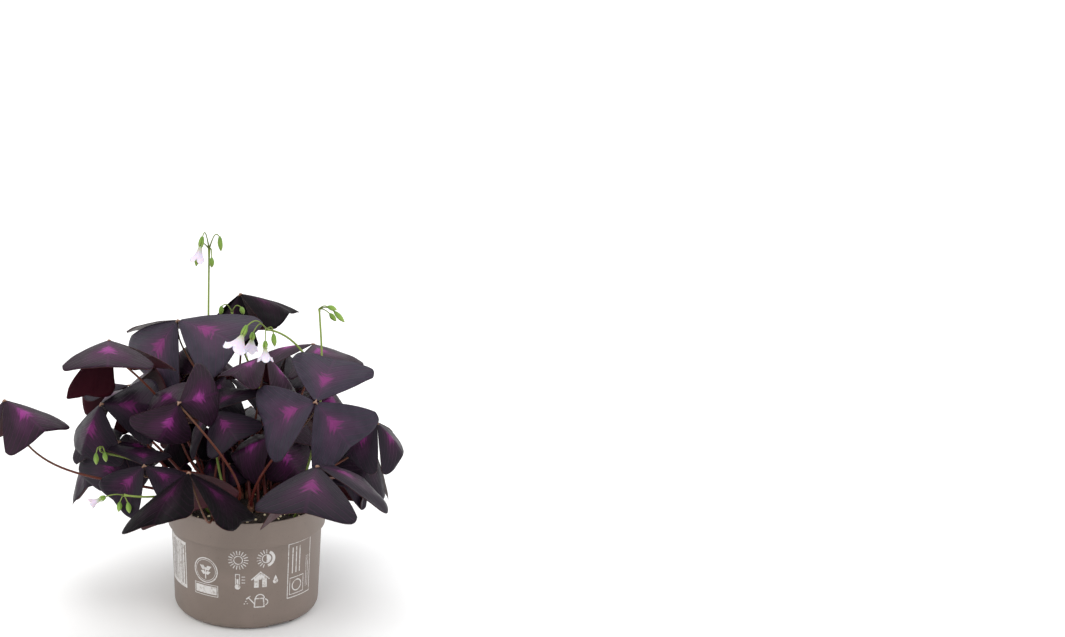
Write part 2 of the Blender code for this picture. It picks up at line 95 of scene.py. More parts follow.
def add_node(tree: bpy.types.NodeTree, kind: str, inputs: dict | None = None,
             **settings: object) -> bpy.types.Node:
    """Add a node with its settings, values and links.

    Args:
        tree: node tree to add to.
        kind: node type, without the words that all types start with.
        inputs: what each socket gets, as plug takes it.
        settings: attributes of the node.

    Returns:
        The new node.
    """
    node = tree.nodes.new("ShaderNode" + kind)
    for name, value in settings.items():
        setattr(node, name, value)
    plug(node, inputs or {})
    return node


def new_material(name: str) -> tuple[Material, bpy.types.NodeTree, bpy.types.Node]:
    """Make an empty Principled material.

    Args:
        name: name of the material.

    Returns:
        The material, its node tree and the node of the surface's own coordinates.
    """
    material = bpy.data.materials.new(name)
    material.use_nodes = True
    return material, material.node_tree, add_node(material.node_tree, "TexCoord")


def dress(material: Material, inputs: dict) -> Material:
    """Plug a material's Principled shader and return the material."""
    plug(material.node_tree.nodes["Principled BSDF"], inputs)
    return material


def scale_for(size: float) -> float:
    """Return the pattern scale that gives spots of a size in millimetres."""
    return 1.0 / (size * MM)


@dataclass(frozen=True)
class LeafSkin:
    """Upper skin of a purple oxalis leaf: a waxy, velvety epidermis over dark purple tissue.

    The wax gives a soft grey-blue gloss, the cells under it a bright chevron round the midrib.
    """

    name: str
    deep: str
    raised: str
    chevron: str
    chevron_strength: float
    roughness: float = 0.42
    gloss: float = 0.16
    waxy_drop: float = 0.06
    velvety_rise: float = 0.10
    blotch_mm: float = 9.0
    cell_mm: float = 0.7
    cell_relief_mm: float = 0.2
    cell_depth: float = 0.25
    vein_count: float = 7.0
    vein_slant: float = 0.62
    vein_wander: float = 0.03
    vein_start: float = 0.80
    vein_strength: float = 0.07
    vein_relief_mm: float = 0.25
    vein_depth: float = 0.6
    midrib_width: float = 0.035
    streak_counts: Point3 = (24.0, 2.5, 3.0)
    patch_place: float = 0.42
    patch_length: float = 0.19
    patch_width: float = 0.20
    patch_slant: float = 0.40
    patch_fray: float = 1.5
    core_edge: Point2 = (1.80, 1.00)
    halo_edge: Point2 = (3.2, 1.3)
    halo_strength: float = 0.16

    def material(self) -> Material:
        """Build the skin's material.

        Returns:
            The new material.
        """
        material, tree, where = new_material(self.name)
        place = where.outputs["Object"]
        share = add_node(tree, "SeparateXYZ", {0: where.outputs["UV"]})
        along = share.outputs["X"]
        centred = add_node(tree, "Math", {0: share.outputs["Y"], 1: 0.5}, operation="SUBTRACT")
        side = add_node(tree, "Math", {0: centred}, operation="ABSOLUTE")
        across = add_node(tree, "Math", {0: side, 1: 2.0}, operation="MULTIPLY")
        blotch = add_node(tree, "TexNoise", {
            "Vector": place, "Scale": scale_for(self.blotch_mm), "Detail": 3.0})
        cells = add_node(tree, "TexNoise", {
            "Vector": place, "Scale": scale_for(self.cell_mm), "Detail": 2.0})
        # Side veins leave the midrib and run forward to the far edge.
        forward = add_node(tree, "Math", {0: across, 1: -self.vein_slant, 2: along},
                           operation="MULTIPLY_ADD")
        wander = add_node(tree, "Math", {0: blotch, 1: self.vein_wander, 2: forward},
                          operation="MULTIPLY_ADD")
        phase = add_node(tree, "Math", {0: wander, 1: math.tau * self.vein_count}, operation="MULTIPLY")
        wave = add_node(tree, "Math", {0: phase}, operation="SINE")
        veins = add_node(tree, "MapRange", {"Value": wave, "From Min": self.vein_start},
                         interpolation_type="SMOOTHSTEP")
        midrib = add_node(tree, "MapRange", {
            "Value": across, "From Min": self.midrib_width, "From Max": 0.0},
            interpolation_type="SMOOTHSTEP")
        lines = add_node(tree, "Math", {0: veins, 1: midrib}, operation="MAXIMUM")
        # Streaks run along the side veins and fray the bright patch on the midrib.
        lane = add_node(tree, "CombineXYZ", {0: forward, 1: across, 2: blotch})
        stretched = add_node(tree, "VectorMath", {0: lane, 1: self.streak_counts}, operation="MULTIPLY")
        streak = add_node(tree, "TexNoise", {"Vector": stretched, "Scale": 1.0, "Detail": 3.0})
        swept = add_node(tree, "Math", {0: across, 1: -self.patch_slant, 2: along}, operation="MULTIPLY_ADD")
        outward = add_node(tree, "Math", {
            0: swept, 1: 1.0 / self.patch_length, 2: -self.patch_place / self.patch_length},
            operation="MULTIPLY_ADD")
        sideways = add_node(tree, "Math", {0: across, 1: 1.0 / self.patch_width}, operation="MULTIPLY")
        offset = add_node(tree, "CombineXYZ", {0: outward, 1: sideways})
        reach = add_node(tree, "VectorMath", {0: offset}, operation="LENGTH")
        frayed = add_node(tree, "Math", {0: streak, 1: self.patch_fray, 2: reach}, operation="MULTIPLY_ADD")
        core = add_node(tree, "MapRange", {
            "Value": frayed, "From Min": self.core_edge[0], "From Max": self.core_edge[1],
            "To Max": self.chevron_strength}, interpolation_type="SMOOTHSTEP")
        halo = add_node(tree, "MapRange", {
            "Value": frayed, "From Min": self.halo_edge[0], "From Max": self.halo_edge[1],
            "To Max": self.halo_strength})
        strength = add_node(tree, "Math", {0: core, 1: halo}, operation="MAXIMUM")
        chevron = srgb(self.chevron)
        ground = add_node(tree, "Mix", {
            "Factor": blotch, "A": srgb(self.deep), "B": srgb(self.raised)}, data_type="RGBA")
        faint = add_node(tree, "Math", {0: lines, 1: self.vein_strength}, operation="MULTIPLY")
        veined = add_node(tree, "Mix", {"Factor": faint, "A": ground, "B": chevron}, data_type="RGBA")
        coloured = add_node(tree, "Mix", {"Factor": strength, "A": veined, "B": chevron}, data_type="RGBA")
        roughness = add_node(tree, "MapRange", {
            "Value": blotch, "From Min": 0.3, "From Max": 0.7,
            "To Min": self.roughness - self.waxy_drop, "To Max": self.roughness + self.velvety_rise})
        relief = add_node(tree, "Bump", {
            "Height": lines, "Strength": self.vein_depth, "Distance": -self.vein_relief_mm * MM})
        grain = add_node(tree, "Bump", {
            "Height": cells, "Strength": self.cell_depth, "Distance": self.cell_relief_mm * MM,
            "Normal": relief})
        return dress(material, {
            "Base Color": coloured, "Roughness": roughness, "Normal": grain, "IOR": TISSUE_IOR,
            "Specular IOR Level": self.gloss})


@dataclass(frozen=True)
class SoftTissue:
    """Plain plant tissue with a colour that changes along its length, and fine cells.

    Used for leaf undersides, stems, sepals and petals: smooth, slightly moist skins.
    """

    name: str
    start: str
    middle: str
    end: str
    roughness: float
    mottle_mm: float = 3.0
    relief_mm: float = 0.08
    sheen: float = 0.0
    subsurface: float = 0.0
    subsurface_mm: float = 1.5
    mottle_reach: float = 0.35
    mottle_middle: float = 0.17
    gloss: float = 0.3

    def material(self) -> Material:
        """Build the tissue's material.

        Returns:
            The new material.
        """
        material, tree, where = new_material(self.name)
        share = add_node(tree, "SeparateXYZ", {0: where.outputs["UV"]})
        mottle = add_node(tree, "TexNoise", {
            "Vector": where.outputs["Object"], "Scale": scale_for(self.mottle_mm), "Detail": 4.0})
        shifted = add_node(tree, "Math", {
            0: mottle, 1: self.mottle_reach, 2: share.outputs["X"]}, operation="MULTIPLY_ADD")
        place = add_node(tree, "Math", {0: shifted, 1: self.mottle_middle}, operation="SUBTRACT")
        ramp = add_node(tree, "ValToRGB", {"Fac": place})
        stops = ramp.color_ramp.elements
        stops[0].color = srgb(self.start)
        stops[1].color = srgb(self.end)
        stops.new(0.5).color = srgb(self.middle)
        bump = add_node(tree, "Bump", {
            "Height": mottle, "Strength": 0.5, "Distance": self.relief_mm * MM})
        if self.subsurface > 0.0:
            dress(material, {
                "Subsurface Weight": self.subsurface, "Subsurface Scale": self.subsurface_mm * MM})
        return dress(material, {
            "Base Color": ramp.outputs["Color"], "Normal": bump, "Roughness": self.roughness,
            "Sheen Weight": self.sheen, "IOR": TISSUE_IOR, "Specular IOR Level": self.gloss})


@dataclass(frozen=True)
class MouldedPlastic:
    """Recycled polypropylene, injection moulded: matte, faintly speckled, with flow marks."""

    name: str = "moulded_recycled_polypropylene"
    body: str = "#80726a"
    dark: str = "#6b5f56"
    speck: str = "#51473f"
    roughness: float = 0.52
    roughness_swing: float = 0.07
    speck_mm: float = 1.1
    speck_edge: Point2 = (0.66, 0.76)
    speck_strength: float = 0.30
    flow_mm: float = 30.0
    grain_mm: float = 0.5
    grain_relief_mm: float = 0.12

    def material(self) -> Material:
        """Build the pot's plastic.

        Returns:
            The new material.
        """
        material, tree, where = new_material(self.name)
        place = where.outputs["Object"]
        flow = add_node(tree, "TexNoise", {
            "Vector": place, "Scale": scale_for(self.flow_mm), "Detail": 5.0, "Distortion": 0.8})
        speck = add_node(tree, "TexNoise", {
            "Vector": place, "Scale": scale_for(self.speck_mm), "Detail": 1.0})
        grain = add_node(tree, "TexNoise", {
            "Vector": place, "Scale": scale_for(self.grain_mm), "Detail": 2.0})
        ground = add_node(tree, "Mix", {
            "Factor": flow, "A": srgb(self.dark), "B": srgb(self.body)}, data_type="RGBA")
        dots = add_node(tree, "MapRange", {
            "Value": speck, "From Min": self.speck_edge[0], "From Max": self.speck_edge[1],
            "To Max": self.speck_strength}, interpolation_type="SMOOTHSTEP")
        speckled = add_node(tree, "Mix", {
            "Factor": dots, "A": ground, "B": srgb(self.speck)}, data_type="RGBA")
        gloss = add_node(tree, "MapRange", {
            "Value": flow, "To Min": self.roughness - self.roughness_swing,
            "To Max": self.roughness + self.roughness_swing})
        bump = add_node(tree, "Bump", {
            "Height": grain, "Strength": 0.35, "Distance": self.grain_relief_mm * MM})
        return dress(material, {"Base Color": speckled, "Roughness": gloss, "Normal": bump, "IOR": 1.49})


@dataclass(frozen=True)
class GranularGround:
    """A loose, crumbly material in two colours, such as peat, or the pale glassy foam of perlite."""

    name: str
    dark: str
    light: str
    roughness: float
    grain_mm: float
    relief_mm: float

    def material(self) -> Material:
        """Build the granular material.

        Returns:
            The new material.
        """
        material, tree, where = new_material(self.name)
        place = where.outputs["Object"]
        crumbs = add_node(tree, "TexVoronoi", {"Vector": place, "Scale": scale_for(self.grain_mm)})
        fibre = add_node(tree, "TexNoise", {
            "Vector": place, "Scale": scale_for(self.grain_mm * 0.6), "Detail": 5.0})
        colour = add_node(tree, "Mix", {
            "Factor": fibre, "A": srgb(self.dark), "B": srgb(self.light)}, data_type="RGBA")
        height = add_node(tree, "Math", {0: crumbs.outputs["Distance"], 1: fibre}, operation="ADD")
        bump = add_node(tree, "Bump", {
            "Height": height, "Strength": 0.8, "Distance": self.relief_mm * MM})
        return dress(material, {"Base Color": colour, "Normal": bump, "Roughness": self.roughness})


@dataclass(frozen=True)
class PadInk:
    """White pad-printing ink on plastic: thin, satin and a little worn, so the pot shows through."""

    name: str = "white_pad_printing_ink"
    ink: str = "#cbc8c6"
    worn: str = "#a09790"
    roughness: float = 0.45
    wear_mm: float = 2.2
    wear_edge: Point2 = (0.48, 0.70)

    def material(self) -> Material:
        """Build the ink's material.

        Returns:
            The new material.
        """
        material, tree, where = new_material(self.name)
        wear = add_node(tree, "TexNoise", {
            "Vector": where.outputs["Object"], "Scale": scale_for(self.wear_mm), "Detail": 4.0})
        amount = add_node(tree, "MapRange", {
            "Value": wear, "From Min": self.wear_edge[0], "From Max": self.wear_edge[1]},
            interpolation_type="SMOOTHSTEP")
        colour = add_node(tree, "Mix", {
            "Factor": amount, "A": srgb(self.ink), "B": srgb(self.worn)}, data_type="RGBA")
        return dress(material, {"Base Color": colour, "Roughness": self.roughness})


class LeafTone(Enum):
    """How a blade's upper side looks, from almost black to the lighter violet ones. The black tone takes the
    leaf's own deep purple darker still and cuts its gloss, as painted shade for leaves in the plant's own
    shadow. The grey tone is lightened, as a painted blue-grey sheen over its own grey-purple.
    """

    # Near-black base colours and a very low gloss: painted shade for leaves that sit in the plant's own
    # shadow, over the leaf's own deep purple.
    BLACK = LeafSkin("leaf_skin_black_purple", "#060406", "#0d080d", "#4a1640", 0.6, 0.5, 0.05)
    SLATE = LeafSkin("leaf_skin_slate_purple", "#150f17", "#251e29", "#6e2460", 0.85)
    PLUM = LeafSkin("leaf_skin_plum_purple", "#190e17", "#2c1b29", "#87307a", 0.90)
    # Lighter grey base colours, the raised one most: a painted blue-grey sheen of the softbox, over the
    # leaf's own grey-purple.
    GREY = LeafSkin("leaf_skin_grey_purple", "#221d28", "#3c3643", "#7c2e6b", 0.80, 0.44)


# Without wax, the underside is a dull wine red, and the thin rim shows its red-brown flesh.
UNDERSIDE = SoftTissue("leaf_underside_wine", "#1e070f", "#2c0913", "#380d18", 0.50, 5.0, 0.12)
BLADE_EDGE = SoftTissue("leaf_edge_red_brown", "#2a1012", "#331516", "#3c1a18", 0.55)
# The cushion is swollen, pale flesh that catches the light where the leaflets meet.
CUSHION = SoftTissue("leaf_cushion_cream", "#93786a", "#80604f", "#5a3431", 0.50, 1.2)
# Stems are juicy and smooth, red at the foot and tan at the tip, over dry brown husks.
PETIOLE = SoftTissue("petiole_red_brown", "#4e1a18", "#5b2c20", "#5f4a34", 0.40, 2.5, 0.05)
SCALE = SoftTissue("rhizome_scale_husk", "#54382b", "#6d4c3b", "#5c2c25", 0.60, 1.5, 0.15)
# Flower stalks and sepals are fresh and smooth, with a soft gloss.
SCAPE = SoftTissue("flower_stalk_yellow_green", "#5c6a30", "#6c7d3a", "#7d8f45", 0.42, 2.5, 0.05)
SEPAL = SoftTissue("sepal_fresh_green", "#66853a", "#7a9a42", "#93a85c", 0.42, 1.5, 0.06)
# Petals are thin and let light through, so they look soft and a little brighter inside.
PETAL = SoftTissue("petal_pale_lilac", "#98a86a", "#d5c6d9", "#e2d7e5", 0.48, 2.5, 0.05, 0.05, 0.2)
# Damp peat drinks the light, and perlite is a pale, matte foam of volcanic glass.
PEAT = GranularGround("peat_growing_medium", "#120d0a", "#33261c", 0.92, 1.6, 0.8)
PERLITE = GranularGround("perlite_grain", "#c9b88a", "#ece2c4", 0.80, 0.8, 0.3)


class Draft:
    """Points in millimetres with pattern coordinates, and faces with finish numbers."""

    def __init__(self) -> None:
        """Start empty."""
        self.points: list[Vector] = []
        self.coordinates: list[Point2] = []
        self.faces: list[Sequence[int]] = []
        self.finishes: list[int] = []

    def point(self, place: Vector, coordinate: Point2 = (0.0, 0.0)) -> int:
        """Add a point and return its number.

        Args:
            place: the point.
            coordinate: its pattern coordinates.

        Returns:
            The point's number.
        """
        self.points.append(Vector(place))
        self.coordinates.append(coordinate)
        return len(self.points) - 1

    def face(self, corners: Sequence[int], finish: int = 0) -> None:
        """Add a face."""
        self.faces.append(tuple(corners))
        self.finishes.append(finish)

    def grid(self, rows: Rows, finish: int = 0, closed: bool = False,
             flip: bool = False, caps: bool = False) -> list[list[int]]:
        """Add a grid of quads, with coordinates that run along the rows and across them.

        Args:
            rows: rows of points, all of one length.
            finish: finish number.
            closed: whether each row closes on itself.
            flip: whether the faces turn the other way.
            caps: whether closed first and last rows get a face each.

        Returns:
            The numbers of the points, row by row.
        """
        steps = len(rows) - 1
        spans = len(rows[0]) - (not closed)
        numbers = [[self.point(place, (i / steps, j / spans)) for j, place in enumerate(row)]
                   for i, row in enumerate(rows)]
        for low, high in zip(numbers, numbers[1:]):
            self.band(low, high, finish, spans, flip)
        if caps:
            order = -1 if flip else 1
            self.face(numbers[0][::-order], finish)
            self.face(numbers[-1][::order], finish)
        return numbers

    def band(self, low: Sequence[int], high: Sequence[int], finish: int, spans: int, flip: bool) -> None:
        """Join two rows of numbered points with quads, round to the start where the rows close.

        Args:
            low: numbers of one row.
            high: numbers of the next row.
            finish: finish number.
            spans: number of quads.
            flip: whether the faces turn the other way.
        """
        for j in range(spans):
            after = (j + 1) % len(low)
            corners = (low[j], low[after], high[after], high[j])
            self.face(corners[::-1] if flip else corners, finish)

    def build(self, name: str, finishes: Sequence[Material],
              smooth: bool = True) -> Piece:
        """Make the object.

        Args:
            name: name of the piece.
            finishes: materials by finish number.
            smooth: whether the faces are shaded smooth.

        Returns:
            The new object, linked into the scene.
        """
        mesh = bpy.data.meshes.new(name)
        mesh.from_pydata([place * MM for place in self.points], [], self.faces)
        for material in finishes:
            mesh.materials.append(material)
        mesh.polygons.foreach_set("material_index", self.finishes)
        mesh.polygons.foreach_set("use_smooth", [smooth] * len(self.faces))
        layer = mesh.uv_layers.new(name="pattern")
        corners = [0] * len(mesh.loops)
        mesh.loops.foreach_get("vertex_index", corners)
        layer.data.foreach_set("uv", [share for corner in corners for share in self.coordinates[corner]])
        mesh.update()
        piece = bpy.data.objects.new(name, mesh)
        bpy.context.scene.collection.objects.link(piece)
        return piece


def settle(piece: Piece, node: str, stands_for: bool = True) -> None:
    """Join a piece to the root body, and hide the node that it stands for unless told otherwise.

    Args:
        piece: piece to join.
        node: node that the piece stands for.
        stands_for: whether the piece takes the node's place.
    """
    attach(piece, "root")
    if stands_for:
        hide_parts(node)


def polar(radius: float, turn: float, height: float) -> Vector:
    """Return the point at a radius and a turn in radians round the z axis, at a height."""
    return Vector((radius * math.cos(turn), radius * math.sin(turn), height))


def around(sides: int, place: Callable[[float], Vector]) -> list[Vector]:
    """Return a ring of points, from a function of the turn in radians."""
    return [place(math.tau * side / sides) for side in range(sides)]


def bezier(start: Vector, first: Vector, second: Vector, end: Vector, steps: int) -> list[Vector]:
    """Return points along a cubic curve.

    Args:
        start: first point.
        first: first handle.
        second: second handle.
        end: last point.
        steps: number of steps.

    Returns:
        The points, first and last included.
    """
    pairs = [(1.0 - step / steps, step / steps) for step in range(steps + 1)]
    return [start * s ** 3 + first * 3.0 * s * s * t + second * 3.0 * s * t * t + end * t ** 3
            for s, t in pairs]


def tube_rows(route: Sequence[Vector], radii: Sequence[float], sides: int) -> list[list[Vector]]:
    """Return rings of points round a route.

    Args:
        route: centre line.
        radii: radius at each point of the route.
        sides: number of sides.

    Returns:
        One ring of points for each point of the route.
    """
    last = len(route) - 1
    tangent = (route[1] - route[0]).normalized()
    helper = Vector((1.0, 0.0, 0.0)) if abs(tangent.x) < 0.9 else Vector((0.0, 1.0, 0.0))
    side = tangent.cross(helper).normalized()
    rows = []
    for index, place in enumerate(route):
        tangent = (route[min(index + 1, last)] - route[max(index - 1, 0)]).normalized()
        side = (side - tangent * side.dot(tangent)).normalized()
        other = tangent.cross(side)
        rows.append([place + radii[index] * (side * math.cos(turn) + other * math.sin(turn))
                     for turn in (math.tau * step / sides for step in range(sides))])
    return rows


def turned_rows(profile: Sequence[Point2], sides: int) -> list[list[Vector]]:
    """Return rings of points for a profile of (radius, height) pairs turned round the z axis."""
    return [around(sides, lambda turn: polar(radius, turn, height)) for radius, height in profile]


def placed(rows: Rows, start: Vector, end: Vector) -> list[list[Vector]]:
    """Move rows that stand on the z axis so that they run from start towards end."""
    spin = (end - start).to_track_quat("Z", "Y").to_matrix()
    return [[start + spin @ point for point in row] for row in rows]


@dataclass(frozen=True)
class LeafPlace:
    """Where one leaf is and how it hangs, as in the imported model.

    Attributes:
        node: name of the blade's node.
        tone: look of the upper side.
        hub: point where the leaflets meet.
        lean: tilt of the leaf's axis toward +x and toward +y.
        spin: direction of the first leaflet, counterclockwise from +x.
        length: length of a leaflet along its midrib.
        fold: how far each half of a leaflet folds down.
        droops: how far each leaflet hangs.
        clump: rhizome clump that the stem grows from.
        root: place of the stem's foot.
        lift: handle of the stem's curve at its foot.
        arrive: length of the curve's handle under the hub.
    """

    node: str
    tone: LeafTone
    hub: Point3
    lean: Point2
    spin: float
    length: float
    fold: float
    droops: Point3
    clump: str
    root: Point2
    lift: Point3
    arrive: float

    def frame(self) -> Matrix:
        """Return the rotation that leans the leaf's axis away from upright.

        Returns:
            The rotation.
        """
        lean_x, lean_y = (math.radians(value) for value in self.lean)
        angle = math.hypot(lean_x, lean_y)
        if angle < 1e-6:
            return Matrix.Identity(3)
        return Matrix.Rotation(angle, 3, Vector((-lean_y, lean_x, 0.0)).normalized())


BLACK, SLATE, PLUM, GREY = LeafTone

LEAVES = tuple(LeafPlace("leaf_%02d" % number, *row) for number, row in enumerate((
    (BLACK, (-41.5, -99, 145), (-18, 18), 346, 56, 3, (59, 34, 29), "a", (-23, -12), (-4, -58, 18), 59),
    (GREY, (49.5, -53.5, 182), (-10, -43), 68, 47, 6, (15, 19, 41), "b", (3, -18), (0, -13, 44), 30),
    (SLATE, (49.5, -102.5, 151), (4, -3), 20, 54, 10, (24, 61, 17), "d", (15, 4), (85, -93, 67), 17),
    (PLUM, (-49.5, -48, 179.5), (22, -69), 24, 40, 28, (21, 74, 33), "a", (-17, -13), (41, -52, 22), 13),
    (SLATE, (-75, -44, 129), (12, -12), 97, 36, 8, (10, 50, 10), "a", (-11, -12), (-27, -1, 56), 28),
    (SLATE, (-108, -4, 163), (-33, -52), 342, 46, 36, (37, 60, 14), "e", (-33, 4), (-37, -9, 54), 24),
    (PLUM, (-101, -15.5, 216.5), (-1, 18), 32, 48, 6, (27, 63, 24), "e", (-27, 5), (-28, -19, 105), 19),
    (PLUM, (-175, -38, 178), (-15, 6), 196, 46, 22, (37, 34, 37), "e", (-39, 5), (-69, -44, 38), 65),
    (PLUM, (14, 5, 198), (12, 13), 337, 36, 19, (37, 37, 32), "c", (-11, 10), (18, 8, 40), 23),
    (SLATE, (-25, -11, 160), (-22, -13), 54, 35, 8, (8, 37, 30), "a", (-23, -6), (-6, 4, 46), 45),
    (SLATE, (-96, 7, 129), (11, -42), 15, 45, 42, (37, 37, 47), "c", (-5, 9), (-25, 21, 20), 58),
    (PLUM, (18, -30, 146), (-15, -46), 61, 44, 48, (37, 28, 51), "b", (9, -19), (-5, 5, 47), 20),
    (SLATE, (97, -5, 148), (9, -19), 345, 36, 24, (41, 37, 37), "d", (21, 3), (11, -9, 19), 38),
    (GREY, (-53, 56, 209), (3, -25), 90, 58, 9, (49, 60, -3), "a", (-17, -5), (1, 1, 110), 47),
    (SLATE, (-90, 65, 153), (7, 41), 62, 38, 54, (37, 6, -10), "c", (1, 10), (-14, 22, 91), 44),
    (PLUM, (50, 41, 195), (-8, 6), 42, 45, 18, (37, 6, 8), "d", (27, 4), (3, 3, 87), 27),
    (BLACK, (-6, 118, 211), (-6, 6), 100, 46, 14, (50, 60, 22), "c", (-11, 16), (5, 145, 74), 33),
    (SLATE, (-63, 95, 153), (-22, 24), 63, 42, 20, (36, 40, 34), "a", (-11, -6), (-50, -23, 45), 27),
    (PLUM, (-43, 95, 178), (-8, 28), 105, 46, 16, (34, 36, 40), "e", (-39, 11), (-95, 5, 86), 56),
    (SLATE, (31, 98, 168), (8, 28), 323, 44, 22, (38, 32, 36), "b", (15, -18), (-14, 57, 100), 72),
    (PLUM, (63, 60, 155), (24, 20), 48, 46, 18, (34, 38, 36), "b", (3, -12), (-13, 39, 84), 21),
    (SLATE, (95, 35, 117), (34, 12), 39, 42, 20, (36, 30, 38), "d", (15, 10), (35, 12, 46), 21),
    (SLATE, (-120, 58, 108), (-36, 14), 117, 44, 18, (36, 36, 30), "e", (-33, 12), (15, -17, 29), 37),
    (PLUM, (-63, 104, 131), (-24, 36), 316, 42, 22, (34, 38, 36), "c", (-5, 17), (-12, 62, 23), 66),
    (SLATE, (3, 125, 114), (0, 38), 67, 46, 16, (36, 32, 38), "c", (1, 16), (-4, 18, 65), 60),
    (PLUM, (73, 123, 110), (24, 36), 114, 42, 20, (34, 36, 38), "d", (21, 11), (18, 33, 49), 58),
    (SLATE, (91, 26.5, 107.5), (38, 22), 22, 38, 30, (54, 36, 56), "d", (27, 10), (3, 6, 23), 39),
    (SLATE, (-16, 52, 166), (0, 8), 5, 42, 18, (34, 36, 32), "c", (-7.5, 13), (8, 15, 51), 30),
    (BLACK, (29.5, 51, 136.5), (15, 18), 64, 42, 18, (34, 36, 32), "d", (18.5, 7), (-3, -1, 37), 24),
    (BLACK, (-44, 47, 129), (-12, 14), 86, 42, 18, (34, 36, 32), "e", (-27, 11), (-11, 18, 36), 15),
), start=1))


@dataclass
class LeafBlade:
    """One blade of three thin leaflets, with the pale cushion that they meet in."""

    place: LeafPlace
    half_thickness: float = 0.18
    start: float = 0.04
    length_steps: int = 18
    width_steps: int = 26
    curl: float = 9.0
    notch_reach: float = 0.94
    lobe_bulge: float = 0.045
    lobe_end: float = 0.8
    corner_setback: float = 0.15
    corner_start: float = 0.72
    half_width: float = 0.68
    side_power: float = 0.92
    side_bulge: float = 0.38
    crease: float = 0.015
    plump: float = 0.030
    ripple: float = 0.016
    ripple_count: float = 4.0
    rim_waves: float = 9.0
    rim_drop: float = 0.020
    cushion_length: float = 2.5
    cushion_radius: float = 0.62
    cushion_lift: float = 0.25

    def far_edge(self, station: float) -> Point2:
        """Return how far out and aside the far edge lies, as shares of the leaflet's length.

        Args:
            station: place across the leaflet, -1 to 1.

        Returns:
            The share outward and the share aside.
        """
        off = abs(station)
        out = self.notch_reach + self.lobe_bulge * math.sin(math.pi * min(off / self.lobe_end, 1.0))
        out -= self.corner_setback * max(0.0, (off - self.corner_start) / (1.0 - self.corner_start)) ** 2
        aside = self.half_width * math.sin(off * math.pi / 2.0) ** self.side_power
        return out, math.copysign(aside, station)

    def surface(self, droop: float, share: float, station: float, lift: float, seed: float) -> Vector:
        """Return a point of a leaflet in its own axes: outward, sideways and up.

        Args:
            droop: the leaflet's droop.
            share: share of the way from the hub to the far edge.
            station: place across the leaflet, -1 to 1.
            lift: distance above the middle of the blade.
            seed: number that makes each leaflet's ripples its own.

        Returns:
            The point, in millimetres.
        """
        out, aside = self.far_edge(station)
        along = out * share
        across = aside * (share + self.side_bulge * share * (1.0 - share))
        begin = math.radians(droop - self.curl)
        bend = math.radians(2.0 * self.curl)
        slope = begin + bend * along
        x = (math.sin(slope) - math.sin(begin)) / bend
        z = (math.cos(slope) - math.cos(begin)) / bend
        up = Vector((math.sin(slope), 0.0, math.cos(slope)))
        fold = math.radians(self.place.fold)
        drop = math.sin(fold) * (math.hypot(across, self.crease) - self.crease)
        middle = Vector((x, across * math.cos(fold), z)) - up * drop
        swell = self.plump * math.sin(math.pi * min(abs(station) * 1.1, 1.0)) * share
        spot = Vector((along * self.ripple_count, across * self.ripple_count, seed))
        swell += self.ripple * share * noise.noise(spot)
        swell += 0.5 * self.ripple * share * share * math.sin(self.rim_waves * station + seed)
        swell -= self.rim_drop * share ** 5
        return (middle + up * swell) * self.place.length + up * lift

    def leaflets(self) -> list[tuple[Matrix, float]]:
        """Return each leaflet's rotation and droop.

        Returns:
            A rotation and a droop for each leaflet.
        """
        lean = self.place.frame()
        return [(lean @ Matrix.Rotation(math.radians(self.place.spin + 120.0 * index), 3, "Z"), droop)
                for index, droop in enumerate(self.place.droops)]

    def draw(self, draft: Draft) -> None:
        """Add the blade to a draft, with finishes 0 to 3: upper skin, underside, edge and cushion.

        Args:
            draft: draft to add to.
        """
        hub = Vector(self.place.hub)
        even = [2.0 * j / self.width_steps - 1.0 for j in range(self.width_steps + 1)]
        stations = [math.sin(math.pi / 2.0 * station) * 0.25 + 0.75 * station for station in even]
        shares = [self.start + (1.0 - self.start) * step / self.length_steps
                  for step in range(self.length_steps + 1)]
        for index, (turn, droop) in enumerate(self.leaflets()):
            seed = self.place.spin * 0.37 + index * 7.1 + self.place.length
            skins = []
            borders = []
            for finish, lift in enumerate((self.half_thickness, -self.half_thickness)):
                rows = [[hub + turn @ self.surface(droop, share, station, lift, seed)
                         for station in stations] for share in shares]
                skin = draft.grid(rows, finish, flip=lift > 0.0)
                skins.append(skin)
                borders.append([row[0] for row in skin] + skin[-1][1:] + [row[-1] for row in skin[-2::-1]])
            top, bottom = borders
            for here, there, low, low_there in zip(top, top[1:], bottom, bottom[1:]):
                draft.face((here, low, low_there, there), 2)
            draft.face([*skins[0][0][::-1], *skins[1][0]], 2)
            self.cushion(draft, turn, droop)

    def cushion(self, draft: Draft, turn: Matrix, droop: float) -> None:
        """Add one leaflet's part of the cushion at the hub.

        Args:
            draft: draft to add to.
            turn: the leaflet's rotation.
            droop: the leaflet's droop.
        """
        slope = math.radians(droop - self.curl * 0.6)
        outward = turn @ Vector((math.cos(slope), 0.0, -math.sin(slope)))
        upward = turn @ Vector((math.sin(slope), 0.0, math.cos(slope)))
        route = [Vector(self.place.hub) + outward * (self.cushion_length * share)
                 + upward * (self.cushion_lift * (1.0 - share))
                 for share in (-0.1, 0.15, 0.4, 0.7, 0.9, 1.0)]
        girth = [self.cushion_radius * part for part in (0.8, 1.15, 1.2, 0.95, 0.6, 0.2)]
        draft.grid(tube_rows(route, girth, 8), 3, closed=True, caps=True)

    def samples(self) -> list[Vector]:
        """Return a few points all over the blade, to test what it would touch.

        Returns:
            The points.
        """
        return [Vector(self.place.hub) + turn @ self.surface(droop, share, station, 0.0, 0.0)
                for turn, droop in self.leaflets()
                for share in (0.3, 0.65, 1.0) for station in (-1.0, -0.5, 0.0, 0.5, 1.0)]

